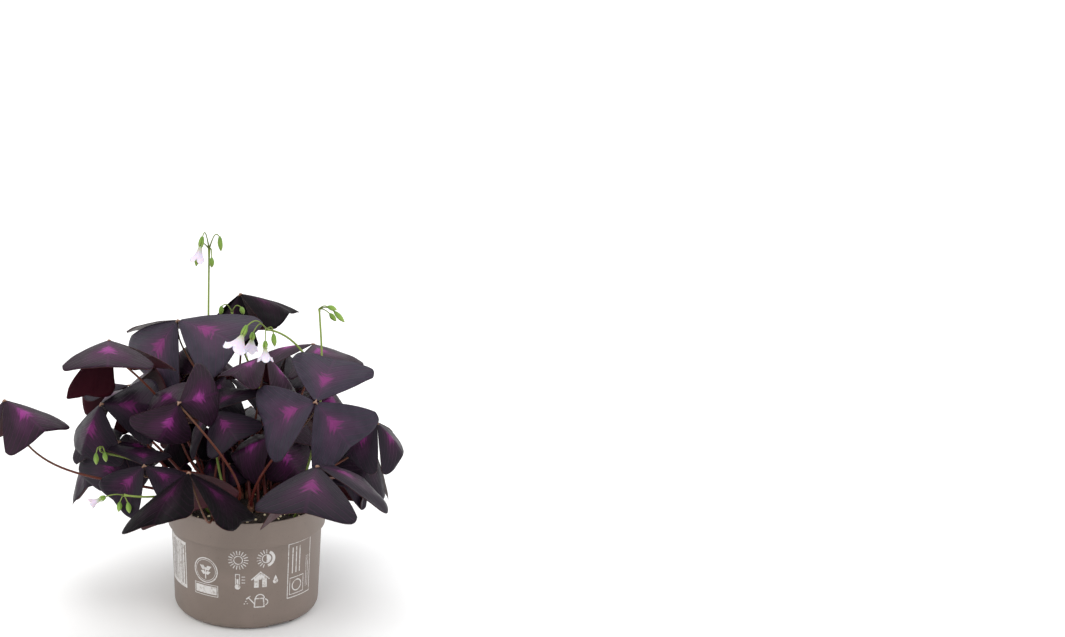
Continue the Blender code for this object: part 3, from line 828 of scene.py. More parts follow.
    def build(self, finishes: Sequence[Material]) -> Piece:
        """Build the blade.

        Args:
            finishes: upper skin, underside, edge and cushion materials.

        Returns:
            The blade's object.
        """
        draft = Draft()
        self.draw(draft)
        return draft.build(self.place.node.replace("leaf", "leaf_blade"), finishes)


@dataclass
class StemClump:
    """Scaly rhizome heads on the soil with the leaf stems that grow from them."""

    key: str
    seat: float = 82.3
    stem_start: float = 84.0
    curve_end: float = 1.75
    stem_end: float = 0.4
    root_radius: float = 1.15
    tip_radius: float = 0.6
    unevenness: float = 0.06
    foot_swell: float = 0.35
    foot_share: float = 0.06
    stem_steps: int = 28
    stem_sides: int = 10
    head_radius: float = 2.6
    head_height: float = 6.5
    scale_rows: int = 5
    head_sides: int = 18

    def route(self, place: LeafPlace) -> list[Vector]:
        """Return the centre line of a leaf's stem, from its foot to its hub.

        Args:
            place: the leaf.

        Returns:
            The points of the line.
        """
        axis = place.frame() @ Vector((0.0, 0.0, 1.0))
        foot = Vector((*place.root, self.stem_start))
        hub = Vector(place.hub)
        below = hub - axis * self.curve_end
        line = bezier(foot, foot + Vector(place.lift), below - axis * place.arrive, below, self.stem_steps)
        return line + [hub - axis * self.stem_end]

    def stem(self, draft: Draft, place: LeafPlace, finish: int = 0) -> None:
        """Add one leaf stem, a little uneven, from its foot to its hub.

        Args:
            draft: draft to add to.
            place: the leaf.
            finish: finish number.
        """
        route = self.route(place)
        radii = []
        for step, point in enumerate(route):
            share = step / (len(route) - 1)
            girth = self.root_radius + (self.tip_radius - self.root_radius) * share
            girth *= 1.0 + self.unevenness * noise.noise(point * 0.15)
            girth *= 1.0 + self.foot_swell * max(0.0, 1.0 - share / self.foot_share)
            radii.append(girth)
        draft.grid(tube_rows(route, radii, self.stem_sides), finish, closed=True, caps=True)

    def head(self, draft: Draft, place: LeafPlace) -> None:
        """Add one scaly head round the foot of a stem.

        Args:
            draft: draft to add to.
            place: the leaf whose stem the head holds.
        """
        rows = []
        steps = self.scale_rows * 4
        for step in range(steps + 1):
            share = step / steps
            girth = self.head_radius * math.sqrt(max(0.0, 1.0 - (share * 0.93) ** 2.2))
            girth *= 0.86 + 0.18 * ((share * self.scale_rows) % 1.0 < 0.75)
            height = self.seat - 0.2 + self.head_height * share
            offset = 2.1 * math.floor(share * self.scale_rows)
            row = []
            for side in range(self.head_sides):
                turn = math.tau * side / self.head_sides
                reach = girth * (1.0 + 0.10 * math.cos(3.0 * turn + offset))
                row.append(Vector((place.root[0] + reach * math.cos(turn),
                                   place.root[1] + reach * math.sin(turn), height)))
            rows.append(row)
        draft.grid(rows, 1, closed=True, caps=True)

    def build(self, finishes: Sequence[Material]) -> Piece:
        """Build the clump.

        Args:
            finishes: stem and scale materials.

        Returns:
            The clump's object.
        """
        draft = Draft()
        for place in LEAVES:
            if place.clump == self.key:
                self.stem(draft, place)
                self.head(draft, place)
        return draft.build("leaf_stems_" + self.key, finishes)


@dataclass
class Undergrowth:
    """Young leaves low between the stems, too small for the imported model, where nothing else is."""

    wanted: int = 28
    tries: int = 5000
    seed: int = 5
    blade_gap: float = 1.9
    stem_gap: float = 1.5
    low: Point3 = (-62.0, 4.0, 98.0)
    high: Point3 = (24.0, 62.0, 120.0)
    rim_radius: float = 54.0
    rim_top: float = 92.0
    soil_top: float = 84.0
    soil_gap: float = 0.5
    foot_share: float = 0.62

    def candidate(self, number: int, generator: random.Random) -> LeafPlace:
        """Return a young leaf at a random place, on a stem from the soil near it.

        Args:
            number: number of the leaf.
            generator: source of its place and shape.

        Returns:
            The leaf's place.
        """
        hub = tuple(generator.uniform(low, high) for low, high in zip(self.low, self.high))
        foot = tuple(place * self.foot_share + generator.uniform(-3.0, 3.0) for place in hub[:2])
        rise = hub[2] - self.soil_top
        tone = generator.choice((SLATE, PLUM, BLACK))
        return LeafPlace(
            "young_leaf_%02d" % number, tone, hub,
            (generator.uniform(-25.0, 25.0), generator.uniform(-25.0, 10.0)), generator.uniform(0.0, 120.0),
            generator.uniform(14.0, 23.0), generator.uniform(12.0, 40.0),
            tuple(generator.uniform(28.0, 62.0) for _ in range(3)), "", foot,
            (0.0, 0.0, rise * 0.5), rise * 0.3)

    def in_pot(self, point: Vector) -> bool:
        """Return whether a point is low enough to touch the pot or the soil."""
        over_rim = point.z < self.rim_top and math.hypot(point.x, point.y) > self.rim_radius
        return over_rim or point.z < self.soil_top + self.soil_gap

    def build(self, others: Sequence[Piece],
              finishes: Sequence[Material]) -> Piece:
        """Build the young leaves that stay clear of what is there.

        Args:
            others: pieces to stay clear of.
            finishes: upper skin, underside, edge, cushion and stem materials.

        Returns:
            The object of all young leaves.
        """
        points = [vertex.co / MM for piece in others for vertex in piece.data.vertices]
        tree = KDTree(len(points))
        for number, point in enumerate(points):
            tree.insert(point, number)
        tree.balance()
        generator = random.Random(self.seed)
        stems = StemClump("young", root_radius=0.7, tip_radius=0.4, stem_steps=14, stem_sides=7)
        draft = Draft()
        taken: list[Vector] = []
        grown = 0
        for _ in range(self.tries):
            place = self.candidate(grown, generator)
            blade = LeafBlade(place, half_thickness=0.14, length_steps=8, width_steps=12,
                              cushion_length=1.3, cushion_radius=0.4)
            outline = blade.samples()
            line = stems.route(place)
            tests = [(point, self.blade_gap) for point in outline]
            tests += [(point, self.stem_gap) for point in line[2:]]
            if any(self.in_pot(point) or tree.find(point)[2] < gap for point, gap in tests):
                continue
            if any((point - other).length < self.blade_gap for point in outline + line for other in taken):
                continue
            blade.draw(draft)
            stems.stem(draft, place, 4)
            taken += outline + line
            grown += 1
            if grown == self.wanted:
                break
        LOG.info("%d young leaves grown", grown)
        return draft.build("young_leaves", finishes)


class Head(Enum):
    """What ends a small flower stem."""

    BUD = 1.9
    TRUMPET = 8.5
    BELL = 5.0
    TUBE = 3.2


@dataclass(frozen=True)
class FlowerStem:
    """One small stem of an umbel, measured from the node: its bend, the head's base and tip."""

    head: Head
    bend: Point3
    base: Point3
    tip: Point3


@dataclass
class Scape:
    """One flower stalk with its umbel of buds and flowers."""

    name: str
    root: Point2
    lift: Point3
    node: Point3
    arrive: Point3
    stems: tuple[FlowerStem, ...]
    seat: float = 82.3
    root_radius: float = 1.0
    tip_radius: float = 0.75
    node_radius: float = 1.15
    pedicel_radius: float = 0.45
    calyx_share: float = 0.32
    clearance: float = 0.3
    spread: float = 1.2
    throat_radius: float = 1.2
    petal_thickness: float = 0.22
    petal_sides: int = 60
    petal_steps: int = 18
    bud_sides: int = 20
    bud_steps: int = 14
    bud_ridge: float = 0.10
    bud_point: float = 0.12
    stalk_steps: int = 36
    stalk_sides: int = 12

    def bud(self, draft: Draft, base: Vector, tip: Vector) -> None:
        """Add one closed bud: five sepals wrapped to a point.

        Args:
            draft: draft to add to.
            base: where the small stem ends.
            tip: point of the bud.
        """
        length = (tip - base).length
        rows = []
        for step in range(self.bud_steps + 1):
            share = step / self.bud_steps
            girth = Head.BUD.value * math.sin(math.pi * min(1.0, 0.08 + share * 0.92)) ** 0.75
            girth = max(girth, self.pedicel_radius if share < 0.1 else self.bud_point)
            rows.append(around(self.bud_sides, lambda turn: polar(
                girth * (1.0 + self.bud_ridge * math.cos(5.0 * (turn + 0.7 * share))),
                turn, length * share)))
        draft.grid(placed(rows, base, tip), 1, closed=True, caps=True)

    def calyx(self, draft: Draft, base: Vector, tip: Vector) -> None:
        """Add the five pointed sepals that hold a flower.

        Args:
            draft: draft to add to.
            base: where the small stem ends.
            tip: middle of the flower's mouth.
        """
        length = (tip - base).length * self.calyx_share
        for petal in range(5):
            middle = math.tau * petal / 5
            rows = []
            for step in range(8):
                share = step / 7
                wide = 0.62 * math.sin(math.pi * (0.22 + 0.78 * share)) ** 0.8
                girth = 0.7 + 1.3 * math.sin(math.pi * min(share * 0.75 + 0.05, 1.0))
                rows.append(around(6, lambda turn: polar(
                    girth + 0.22 * math.sin(turn), middle + wide * math.cos(turn), length * 1.25 * share)))
            draft.grid(placed(rows, base, tip), 1, closed=True, caps=True)
        rows = turned_rows(((0.5, -0.2), (1.25, 0.6), (1.45, length * 0.5), (1.0, length)), 14)
        draft.grid(placed(rows, base, tip), 1, closed=True, caps=True)

    def corolla(self, name: str, stem: FlowerStem, base: Vector, tip: Vector,
                finishes: Sequence[Material]) -> Piece:
        """Build one flower of five joined petals with rounded lobes.

        Args:
            name: name of the piece.
            stem: the small stem that the flower ends.
            base: base of the calyx.
            tip: middle of the flower's mouth.
            finishes: petal material.

        Returns:
            The flower's object.
        """
        line = tip - base
        start = base + line * self.calyx_share + line.normalized() * self.clearance
        length = (tip - start).length
        mouth = stem.head.value * self.spread
        spin = line.to_track_quat("Z", "Y").to_matrix()

        def petal(turn: float, share: float, inset: float) -> Vector:
            """Return a point of the petals, where the lobes reach out between five notches.

            Args:
                turn: angle round the flower.
                share: share of the way to the mouth.
                inset: distance inside the outer skin.

            Returns:
                The point.
            """
            lobe = abs(math.cos(2.5 * turn))
            reach = length * share * (1.0 - 0.30 * share ** 3 * (1.0 - lobe ** 0.55))
            flare = self.throat_radius
            flare += (mouth - self.throat_radius) * (0.45 * share + 0.55 * share ** 1.9)
            flare *= 1.0 + 0.05 * share * math.cos(5.0 * turn)
            return start + spin @ polar(flare - inset, turn + 0.25 * share, reach)

        draft = Draft()
        skins = []
        for inset in (0.0, self.petal_thickness):
            rows = [around(self.petal_sides, lambda turn: petal(turn, step / self.petal_steps, inset))
                    for step in range(self.petal_steps + 1)]
            skins.append(draft.grid(rows, 0, closed=True, flip=inset > 0.0))
        outer, inner = skins
        draft.band(outer[-1], inner[-1], 0, self.petal_sides, False)
        draft.band(outer[0], inner[0], 0, self.petal_sides, True)
        return draft.build(name, finishes)

    def build(self, stalk_finishes: Sequence[Material],
              petal_finishes: Sequence[Material]) -> dict[str, Piece]:
        """Build the stalk and its flowers.

        Args:
            stalk_finishes: stalk and sepal materials.
            petal_finishes: petal material.

        Returns:
            Node name to the piece that stands for it.
        """
        draft = Draft()
        foot = Vector((*self.root, self.seat))
        node = Vector(self.node)
        route = bezier(foot, foot + Vector(self.lift), node + Vector(self.arrive), node, self.stalk_steps)
        radii = [self.root_radius + (self.tip_radius - self.root_radius) * step / self.stalk_steps
                 for step in range(self.stalk_steps)]
        radii.append(self.node_radius)
        draft.grid(tube_rows(route, radii, self.stalk_sides), 0, closed=True, caps=True)
        built = {}
        for number, stem in enumerate(self.stems, start=1):
            bend, base, tip = (node + Vector(value) for value in (stem.bend, stem.base, stem.tip))
            curve = bezier(node, node + (bend - node) * 0.8, bend + (base - bend) * 0.1,
                           base + (tip - base) * 0.05, 12)
            girth = [self.pedicel_radius * (1.5 - 0.5 * min(1.0, step / 3)) for step in range(13)]
            draft.grid(tube_rows(curve, girth, 8), 0, closed=True, caps=True)
            if stem.head is Head.BUD:
                self.bud(draft, base, tip)
            else:
                self.calyx(draft, base, tip)
                node_name = "corolla_%s_%d" % (self.name.rsplit("_", 1)[1], number)
                built[node_name] = self.corolla(
                    node_name.replace("corolla", "flower"), stem, base, tip, petal_finishes)
        built[self.name] = draft.build(self.name.replace("flower_stalk", "flowering_stalk"), stalk_finishes)
        return built


BUD, TRUMPET, BELL, TUBE = Head

SCAPES = (
    Scape("flower_stalk_tall", (-11, -23), (-20, -11, 58), (-29.5, 85, 257.5), (-1, -1, -85), (
        FlowerStem(BUD, (4.5, 2, 14), (8, 3, 9), (9, 3, -3)),
        FlowerStem(BELL, (-3, -3, 18), (-5, -5, 11), (-9, -8, -9)),
        FlowerStem(BUD, (-6, 2, 7), (-9, 2, -4), (-10, 2, -15)),
        FlowerStem(BUD, (2, -3, 2), (2, -4, -6), (2, -4, -14)),
    )),
    Scape("flower_stalk_front", (35, -32), (41, 18, 85), (14, -18, 226), (31, 28, -13), (
        FlowerStem(TRUMPET, (-7.5, -4, 11), (-14.5, -6, 5), (-23, -10, -14)),
        FlowerStem(BELL, (-5, 1, 7), (-10, 2, -3), (-12, 4, -18)),
        FlowerStem(BELL, (-1, -4, 4), (-1, -6, -7), (-1, -9, -22)),
        FlowerStem(BUD, (4, 2, 3), (5, 2, -4), (6, 2, -14)),
    )),
    Scape("flower_stalk_right", (32, -27), (29, -31, 85), (53.5, 20, 230), (2, -5, -33), (
        FlowerStem(BUD, (6, -2, 3), (11, -3, -1), (19, -5, -9)),
        FlowerStem(BUD, (4, 3, -1), (8, 4, -5), (13, 4, -11)),
        FlowerStem(BUD, (3, -3, 4), (6, -4, 3), (13, -5, 1)),
    )),
    Scape("flower_stalk_back", (44, -13), (-11, -6, 51), (-12, 85, 206.5), (-1, 6, -21), (
        FlowerStem(BUD, (-4, 0, 8), (-8, 0, 5), (-9, 0, -3)),
        FlowerStem(BUD, (3, 0, 7), (7, 0, 4), (9, 0, -2)),
    )),
    Scape("flower_stalk_left", (-42, -16), (-31, -2, 57), (-108, -20, 134.5), (-5, 12, -16), (
        FlowerStem(BUD, (-2, -1, 1), (-3, -2, -4), (-3, -2, -13)),
        FlowerStem(BUD, (2, 1, 1), (3, 1, -4), (4, 1, -12)),
    )),
    Scape("flower_stalk_low", (-28, -22), (-17, -10, 34), (-89, -64, 114), (41, -5, -5), (
        FlowerStem(TUBE, (-7, -2, 2), (-13, -3, 0), (-24, -5, -5)),
        FlowerStem(BUD, (-1, 1, -1), (-3, 2, -6), (-4, 2, -14)),
        FlowerStem(BUD, (1, -1, -1), (3, -2, -5), (4, -3, -13)),
    )),
)


@dataclass
class NurseryPot:
    """The moulded pot, turned finely, with its drain notches and holes."""

    height: float = 89.0
    rim_radius: float = 60.0
    collar_depth: float = 20.5
    collar_foot_radius: float = 59.3
    body_top_radius: float = 56.7
    body_foot_radius: float = 54.6
    corner_radius: float = 7.5
    wall: float = 1.4
    base: float = 4.5
    sides: int = 192
    drain_angles: tuple[float, ...] = (-61.0, 59.0, 179.0)
    drain_width: float = 20.0
    drain_depth: float = 3.0
    drain_inner: float = 30.0
    hole_radius: float = 4.0
    hole_place: float = 39.0
    sharp_angle: float = 35.0

    def wall_radius(self, height: float) -> float:
        """Return the body's outer radius at a height below the collar.

        Args:
            height: height above the foot.

        Returns:
            The radius.
        """
        top = self.height - self.collar_depth
        share = (height - self.corner_radius) / (top - self.corner_radius)
        return self.body_foot_radius + (self.body_top_radius - self.body_foot_radius) * share

    def profile(self) -> list[Point2]:
        """Return the outline, outside from the foot up and inside back down.

        Returns:
            Pairs of a radius and a height.
        """
        top, rim, wall = self.height, self.rim_radius, self.wall
        step, collar = self.height - self.collar_depth, self.collar_foot_radius
        centre = self.body_foot_radius - self.corner_radius
        turns = [math.radians(-90.0 + 87.0 * part / 10) for part in range(11)]
        corner = [(centre + self.corner_radius * math.cos(turn), self.corner_radius * (1.0 + math.sin(turn)))
                  for turn in turns]
        body = [(self.wall_radius(height), height) for height in (20.0, 36.0, 52.0, step - 0.8)]
        return [
            (0.01, 0.35), (8.0, 0.35), (9.0, 0.0), *corner, *body,
            (self.body_top_radius, step - 0.1), (self.body_top_radius + 0.3, step + 0.5),
            (collar - 0.7, step + 0.4), (collar - 0.1, step), (collar, step + 0.15),
            (collar + 0.1, step + 1.2), (rim - 0.35, top - 2.8), (rim - 0.3, top - 2.3), (rim, top - 2.0),
            (rim, top - 0.6), (rim - 0.2, top - 0.15), (rim - 0.6, top), (rim - 1.1, top - 0.05),
            (rim - wall, top - 0.5), (rim - wall - 0.1, top - 1.5), (collar - wall, step + 1.7),
            (self.body_top_radius - wall, step - 1.0), (self.body_foot_radius - wall, self.base + 3.5),
            (self.body_foot_radius - wall - 3.0, self.base), (0.01, self.base),
        ]

    def cutter(self, rows: Rows, angle: float) -> Piece:
        """Make a helper solid from rings of points, turned round the z axis by an angle.

        Args:
            rows: rings of points.
            angle: turn round the z axis.

        Returns:
            The helper's object.
        """
        turn = Matrix.Rotation(math.radians(angle), 3, "Z")
        draft = Draft()
        draft.grid([[turn @ point for point in row] for row in rows], closed=True, caps=True)
        return draft.build("drain_cutter", [])

    def cut(self, pot: Piece, tool: Piece) -> None:
        """Cut a helper solid out of the pot and remove it.

        Args:
            pot: the pot.
            tool: helper solid.
        """
        modifier = pot.modifiers.new("drain", "BOOLEAN")
        modifier.operation = "DIFFERENCE"
        modifier.solver = "EXACT"
        modifier.object = tool
        cut_pot = pot.evaluated_get(bpy.context.evaluated_depsgraph_get())
        mesh = bpy.data.meshes.new_from_object(cut_pot)
        pot.modifiers.clear()
        pot.data = mesh
        bpy.data.objects.remove(tool, do_unlink=True)

    def build(self, finishes: Sequence[Material]) -> Piece:
        """Build the pot.

        Args:
            finishes: plastic material.

        Returns:
            The pot's object.
        """
        draft = Draft()
        draft.grid(turned_rows(self.profile(), self.sides), closed=True, caps=True)
        pot = draft.build("moulded_pot", finishes)
        far = self.body_foot_radius + 4.0
        half = self.drain_width / 2.0
        for angle in self.drain_angles:
            corners = ((self.drain_inner, -half), (far, -half), (far, half), (self.drain_inner, half))
            rows = [[Vector((x, y, z)) for x, y in corners] for z in (-2.0, self.drain_depth)]
            self.cut(pot, self.cutter(rows, angle))
            ring = turned_rows(((self.hole_radius, -1.0), (self.hole_radius, self.base + 1.0)), 32)
            moved = [[point + Vector((self.hole_place, 0.0, 0.0)) for point in row] for row in ring]
            self.cut(pot, self.cutter(moved, angle))
        pot.data.polygons.foreach_set("use_smooth", [True] * len(pot.data.polygons))
        pot.data.set_sharp_from_angle(angle=math.radians(self.sharp_angle))
        return pot


class Sign(Enum):
    """The plain signs on the pot: each one's centre, an angle and a height, and its marks.

    A mark is the name of a method of CarePrint and the sizes that it takes.
    """

    STRIPED_LABEL = ((-66.0, 45.0), (
        ("stripes", -12.0, 10.0, 16), ("bar", -13.6, -16, -12.4, 16), ("bar", 11.2, -16, 12.4, 16),
        ("bar", -13.6, -18.6, 12.4, -16), ("bar", -13.6, 16, 12.4, 18.6)))
    SPROUT_OVER_BLANK_LABEL = ((-33.0, 44.0), (
        ("ring", 0, 3, 9.4, 10.3), ("ring", 0, 3, 8.2, 8.6), ("stroke", ((0, -3.6), (0, 5)), 0.9),
        ("quad", ((-1.6, 6.8), (-5.2, 6.6), (-2.6, 3), (0, 3.4))),
        ("quad", ((-1.4, 2.6), (-4.4, 2), (-2, -0.6), (0, 0.2))),
        ("quad", ((0, 3.4), (2.6, 3), (5.2, 6.6), (1.6, 6.8))),
        ("quad", ((0, 0.2), (2, -0.6), (4.4, 2), (1.4, 2.6))),
        ("bar", -9, -16, 9, -9.6), ("outline", -10, -17.4, 10, -8.4, 0.5)))
    SUN = ((-6.5, 58.5), (("ring", 0, 0, 2.9, 3.6), ("rays", 18, 0, 360, 4.6, 7.4)))
    HALF_SUN = ((15.0, 59.0), (
        ("ring", 0, 0, 2.9, 3.6), ("ring", 0, 0, 0.05, 2.9, -90, 90), ("rays", 9, 90, 270, 4.6, 7.2),
        ("ring", 0, 0, 4.6, 6.8, -80, 65)))
    THERMOMETER = ((-7.0, 41.5), (
        ("ring", 0, -4.8, 0.05, 2.1), ("bar", -0.7, -3.4, 0.7, 1.6),
        ("stroke", ((-1.5, -2.8), (-1.5, 5.4), (1.5, 5.4), (1.5, -2.8)), 0.6),
        *(("stroke", ((3.2, height), (5.4, height)), 0.6) for height in (3.4, 1, -1.4))))
    HOUSE = ((10.5, 42.0), (
        ("stroke", ((-6.6, 0.6), (0, 6.4), (6.6, 0.6)), 1), ("bar", -4.8, -6, -1.3, 0.4),
        ("bar", 1.3, -6, 4.8, 0.4), ("bar", -4.8, 0.4, 4.8, 1.6),
        ("quad", ((-4.4, 1.6), (4.4, 1.6), (0.4, 5), (-0.4, 5)))))
    DROP = ((22.5, 41.0), (
        ("ring", 0, -1.2, 0.05, 2.1, 150, 390),
        ("quad", ((-1.9, -0.5), (1.9, -0.5), (0.15, 3.6), (-0.15, 3.6)))))
    WATERING_CAN = ((9.0, 24.5), (
        ("stroke", ((-3, -4.6), (4.4, -4.6), (3.8, 2.4), (-2.4, 2.4), (-3, -4.6)), 0.9),
        ("stroke", ((-2.9, -1.8), (-7.4, 3.4)), 0.9), ("stroke", ((-8.8, 2.4), (-6.2, 4.6)), 0.9),
        ("ring", 1.2, 2.4, 2.9, 3.7, 0, 180), ("ring", 4.6, -0.9, 2.2, 3, -80, 80),
        *(("ring", x, y, 0.05, 0.5) for x, y in ((-9.4, 0.4), (-10.4, -1.6), (-8.2, -1.4)))))
    TALL_PANEL = ((45.0, 45.0), (
        ("outline", -11.5, -22, 11.5, 22, 0.7), ("outline", -9.5, -19.5, 4, -6, 0.6),
        ("ring", -2.8, -12.8, 3.9, 4.8), *(("stroke", ((x, -2), (x, 18.5)), 0.9) for x in (-7.5, -4, -0.5)),
        *(("stroke", ((x, -17), (x, 8)), 0.5) for x in (7, 9))))


@dataclass
class CarePrint:
    """White pictograms on the pot's wall: plain signs for light, warmth, room and water."""

    pot: NurseryPot
    lift: float = 0.06
    cell: float = 1.2
    draft: Draft = field(default_factory=Draft)
    centre: Point2 = (0.0, 0.0)

    def on_wall(self, x: float, y: float) -> Vector:
        """Return a point on the wall.

        Args:
            x: distance to the right of the sign's centre, along the wall.
            y: distance above it.

        Returns:
            The point, a little proud of the wall.
        """
        angle, height = self.centre
        radius = self.pot.wall_radius(height + y) + self.lift
        turn = math.radians(angle - 90.0) + x / radius
        return Vector((radius * math.cos(turn), radius * math.sin(turn), height + y))

    def quad(self, corners: Sequence[Point2]) -> None:
        """Print a four-cornered patch, counterclockwise, in cells that follow the wall.

        Args:
            corners: its corners, as distances from the sign's centre.
        """
        a, b, c, d = (Vector(corner) for corner in corners)
        wide = max(1, math.ceil(max((b - a).length, (c - d).length) / self.cell))
        tall = max(1, math.ceil(max((d - a).length, (c - b).length) / self.cell))
        rows = []
        for j in range(tall + 1):
            low, high = a.lerp(d, j / tall), b.lerp(c, j / tall)
            rows.append([self.on_wall(*low.lerp(high, i / wide)) for i in range(wide + 1)])
        self.draft.grid(rows)

    def bar(self, x0: float, y0: float, x1: float, y1: float) -> None:
        """Print an upright rectangle."""
        self.quad(((x0, y0), (x1, y0), (x1, y1), (x0, y1)))

    def outline(self, x0: float, y0: float, x1: float, y1: float, width: float) -> None:
        """Print the outline of an upright rectangle."""
        self.stroke(((x0, y0), (x1, y0), (x1, y1), (x0, y1), (x0, y0)), width)

    def stroke(self, points: Sequence[Point2], width: float) -> None:
        """Print a line of a width along points.

        Args:
            points: points of the line.
            width: width of the line.
        """
        for start, end in zip(points, points[1:]):
            a, b = Vector(start), Vector(end)
            aside = Vector((b.y - a.y, a.x - b.x)).normalized() * width / 2.0
            reach = (b - a).normalized() * width * 0.35
            self.quad((a - reach + aside, b + reach + aside, b + reach - aside, a - reach - aside))

    def ring(self, x: float, y: float, inner: float, outer: float, start: float = 0.0,
             end: float = 360.0) -> None:
        """Print part of a ring, or of a disc where the inner radius is 0.

        Args:
            x: distance of its centre to the right.
            y: distance of its centre upward.
            inner: inner radius.
            outer: outer radius.
            start: direction where it begins.
            end: direction where it ends.
        """
        steps = max(6, round((end - start) / 12.0))
        for step in range(steps):
            a, b = (math.radians(start + (end - start) * (step + part) / steps) for part in (0, 1))
            self.quad([(x + radius * math.cos(angle), y + radius * math.sin(angle))
                       for radius, angle in ((inner, a), (outer, a), (outer, b), (inner, b))])

    def rays(self, count: int, start: float, end: float, inner: float, outer: float) -> None:
        """Print rays between two directions.

        Args:
            count: number of rays.
            start: direction of the first ray.
            end: direction where they stop.
            inner: radius where a ray begins.
            outer: radius where a ray ends.
        """
        for step in range(count):
            angle = math.radians(start + (end - start) * step / count)
            direction = Vector((math.cos(angle), math.sin(angle)))
            self.stroke((direction * inner, direction * outer), 0.7)

    def stripes(self, start: float, end: float, reach: float) -> None:
        """Print upright stripes of uneven widths, which code nothing.

        Args:
            start: where the first stripe begins.
            end: where the stripes stop.
            reach: half of their height.
        """
        generator = random.Random(7)
        across = start
        while across < end:
            wide = generator.choice((0.7, 1.0, 1.5, 2.1))
            self.bar(across, -reach, across + wide, reach)
            across += wide + generator.choice((0.35, 0.5, 0.8))

    def build(self, finishes: Sequence[Material]) -> Piece:
        """Print every sign at its place and build them as one thin layer.

        Args:
            finishes: ink material.

        Returns:
            The print's object.
        """
        tools = {"bar": self.bar, "outline": self.outline, "quad": self.quad, "rays": self.rays,
                 "ring": self.ring, "stripes": self.stripes, "stroke": self.stroke}
        for sign in Sign:
            self.centre, marks = sign.value
            for kind, *sizes in marks:
                tools[kind](*sizes)
        return self.draft.build("care_print", finishes)


@dataclass
class GrowingMedium:
    """Peat that fills the pot, with crumbs and perlite grains on its surface."""

    top: float = 82.0
    edge_drop: float = 2.0
    fall_start: float = 46.0
    fall_width: float = 11.0
    foot: float = 4.8
    foot_radius: float = 49.7
    low_radius: float = 52.7
    high_radius: float = 54.9
    edge_radius: float = 57.2
    rings: int = 42
    sides: int = 120
    crumb_count: int = 520
    perlite_count: int = 95
    crumb_reach: float = 56.0
    crumb_sizes: Point2 = (0.5, 1.7)
    perlite_sizes: Point2 = (0.6, 1.35)
    grain_sides: int = 9
    grain_roughness: float = 0.45
    seed: int = 21

    def surface(self, x: float, y: float) -> float:
        """Return the height of the soil's surface at a place.

        Args:
            x: place along x.
            y: place along y.

        Returns:
            The height.
        """
        radius = math.hypot(x, y)
        fall = self.edge_drop * max(0.0, (radius - self.fall_start) / self.fall_width) ** 2
        lumps = 0.9 * noise.noise(Vector((x, y, 0.0)) * 0.11)
        lumps += 0.5 * noise.noise(Vector((x, y, 4.0)) * 0.33)
        return self.top - fall + lumps - 0.4

    def lump(self, draft: Draft, place: Vector, size: float, finish: int, generator: random.Random) -> None:
        """Add one irregular grain.

        Args:
            draft: draft to add to.
            place: middle of the grain.
            size: its radius.
            finish: finish number.
            generator: source of its irregularity.
        """
        shift = Vector((generator.uniform(0.0, 50.0), 0.0, 0.0))
        squash = Vector((generator.uniform(0.8, 1.25), generator.uniform(0.8, 1.25),
                         generator.uniform(0.6, 0.95)))
        turn = Matrix.Rotation(generator.uniform(0.0, math.tau), 3, "Z")
        rows = []
        for ring in range(6):
            tilt = math.pi * (0.06 + 0.88 * ring / 5)
            ways = around(self.grain_sides, lambda angle: polar(math.sin(tilt), angle, -math.cos(tilt)))
            swells = [size * (1.0 + self.grain_roughness * noise.noise(way * 1.6 + shift)) for way in ways]
            rows.append([place + turn @ (way * swell * squash) for way, swell in zip(ways, swells)])
        draft.grid(rows, finish, closed=True, caps=True)

    def build(self, finishes: Sequence[Material]) -> Piece:
        """Build the medium.

        Args:
            finishes: peat and perlite materials.

        Returns:
            The medium's object.
        """
        draft = Draft()
        body = [(0.01, self.foot), (self.foot_radius, self.foot), (self.low_radius, self.foot + 3.7),
                (self.high_radius, 67.5), (self.edge_radius, 71.0), (self.edge_radius, 78.0)]
        rows = turned_rows(body, self.sides)
        for ring in range(self.rings + 1):
            radius = max(0.01, self.edge_radius * (1.0 - ring / self.rings))
            row = []
            for side in range(self.sides):
                turn = math.tau * side / self.sides
                x, y = radius * math.cos(turn), radius * math.sin(turn)
                row.append(Vector((x, y, self.surface(x, y))))
            rows.append(row)
        draft.grid(rows, 0, closed=True, caps=True)
        generator = random.Random(self.seed)
        for number in range(self.crumb_count + self.perlite_count):
            radius = self.crumb_reach * math.sqrt(generator.random())
            turn = generator.uniform(0.0, math.tau)
            x, y = radius * math.cos(turn), radius * math.sin(turn)
            pale = number >= self.crumb_count
            size = generator.uniform(*(self.perlite_sizes if pale else self.crumb_sizes))
            place = Vector((x, y, self.surface(x, y) + size * 0.25))
            self.lump(draft, place, size, 1 if pale else 0, generator)
        return draft.build("peat_and_perlite", finishes)


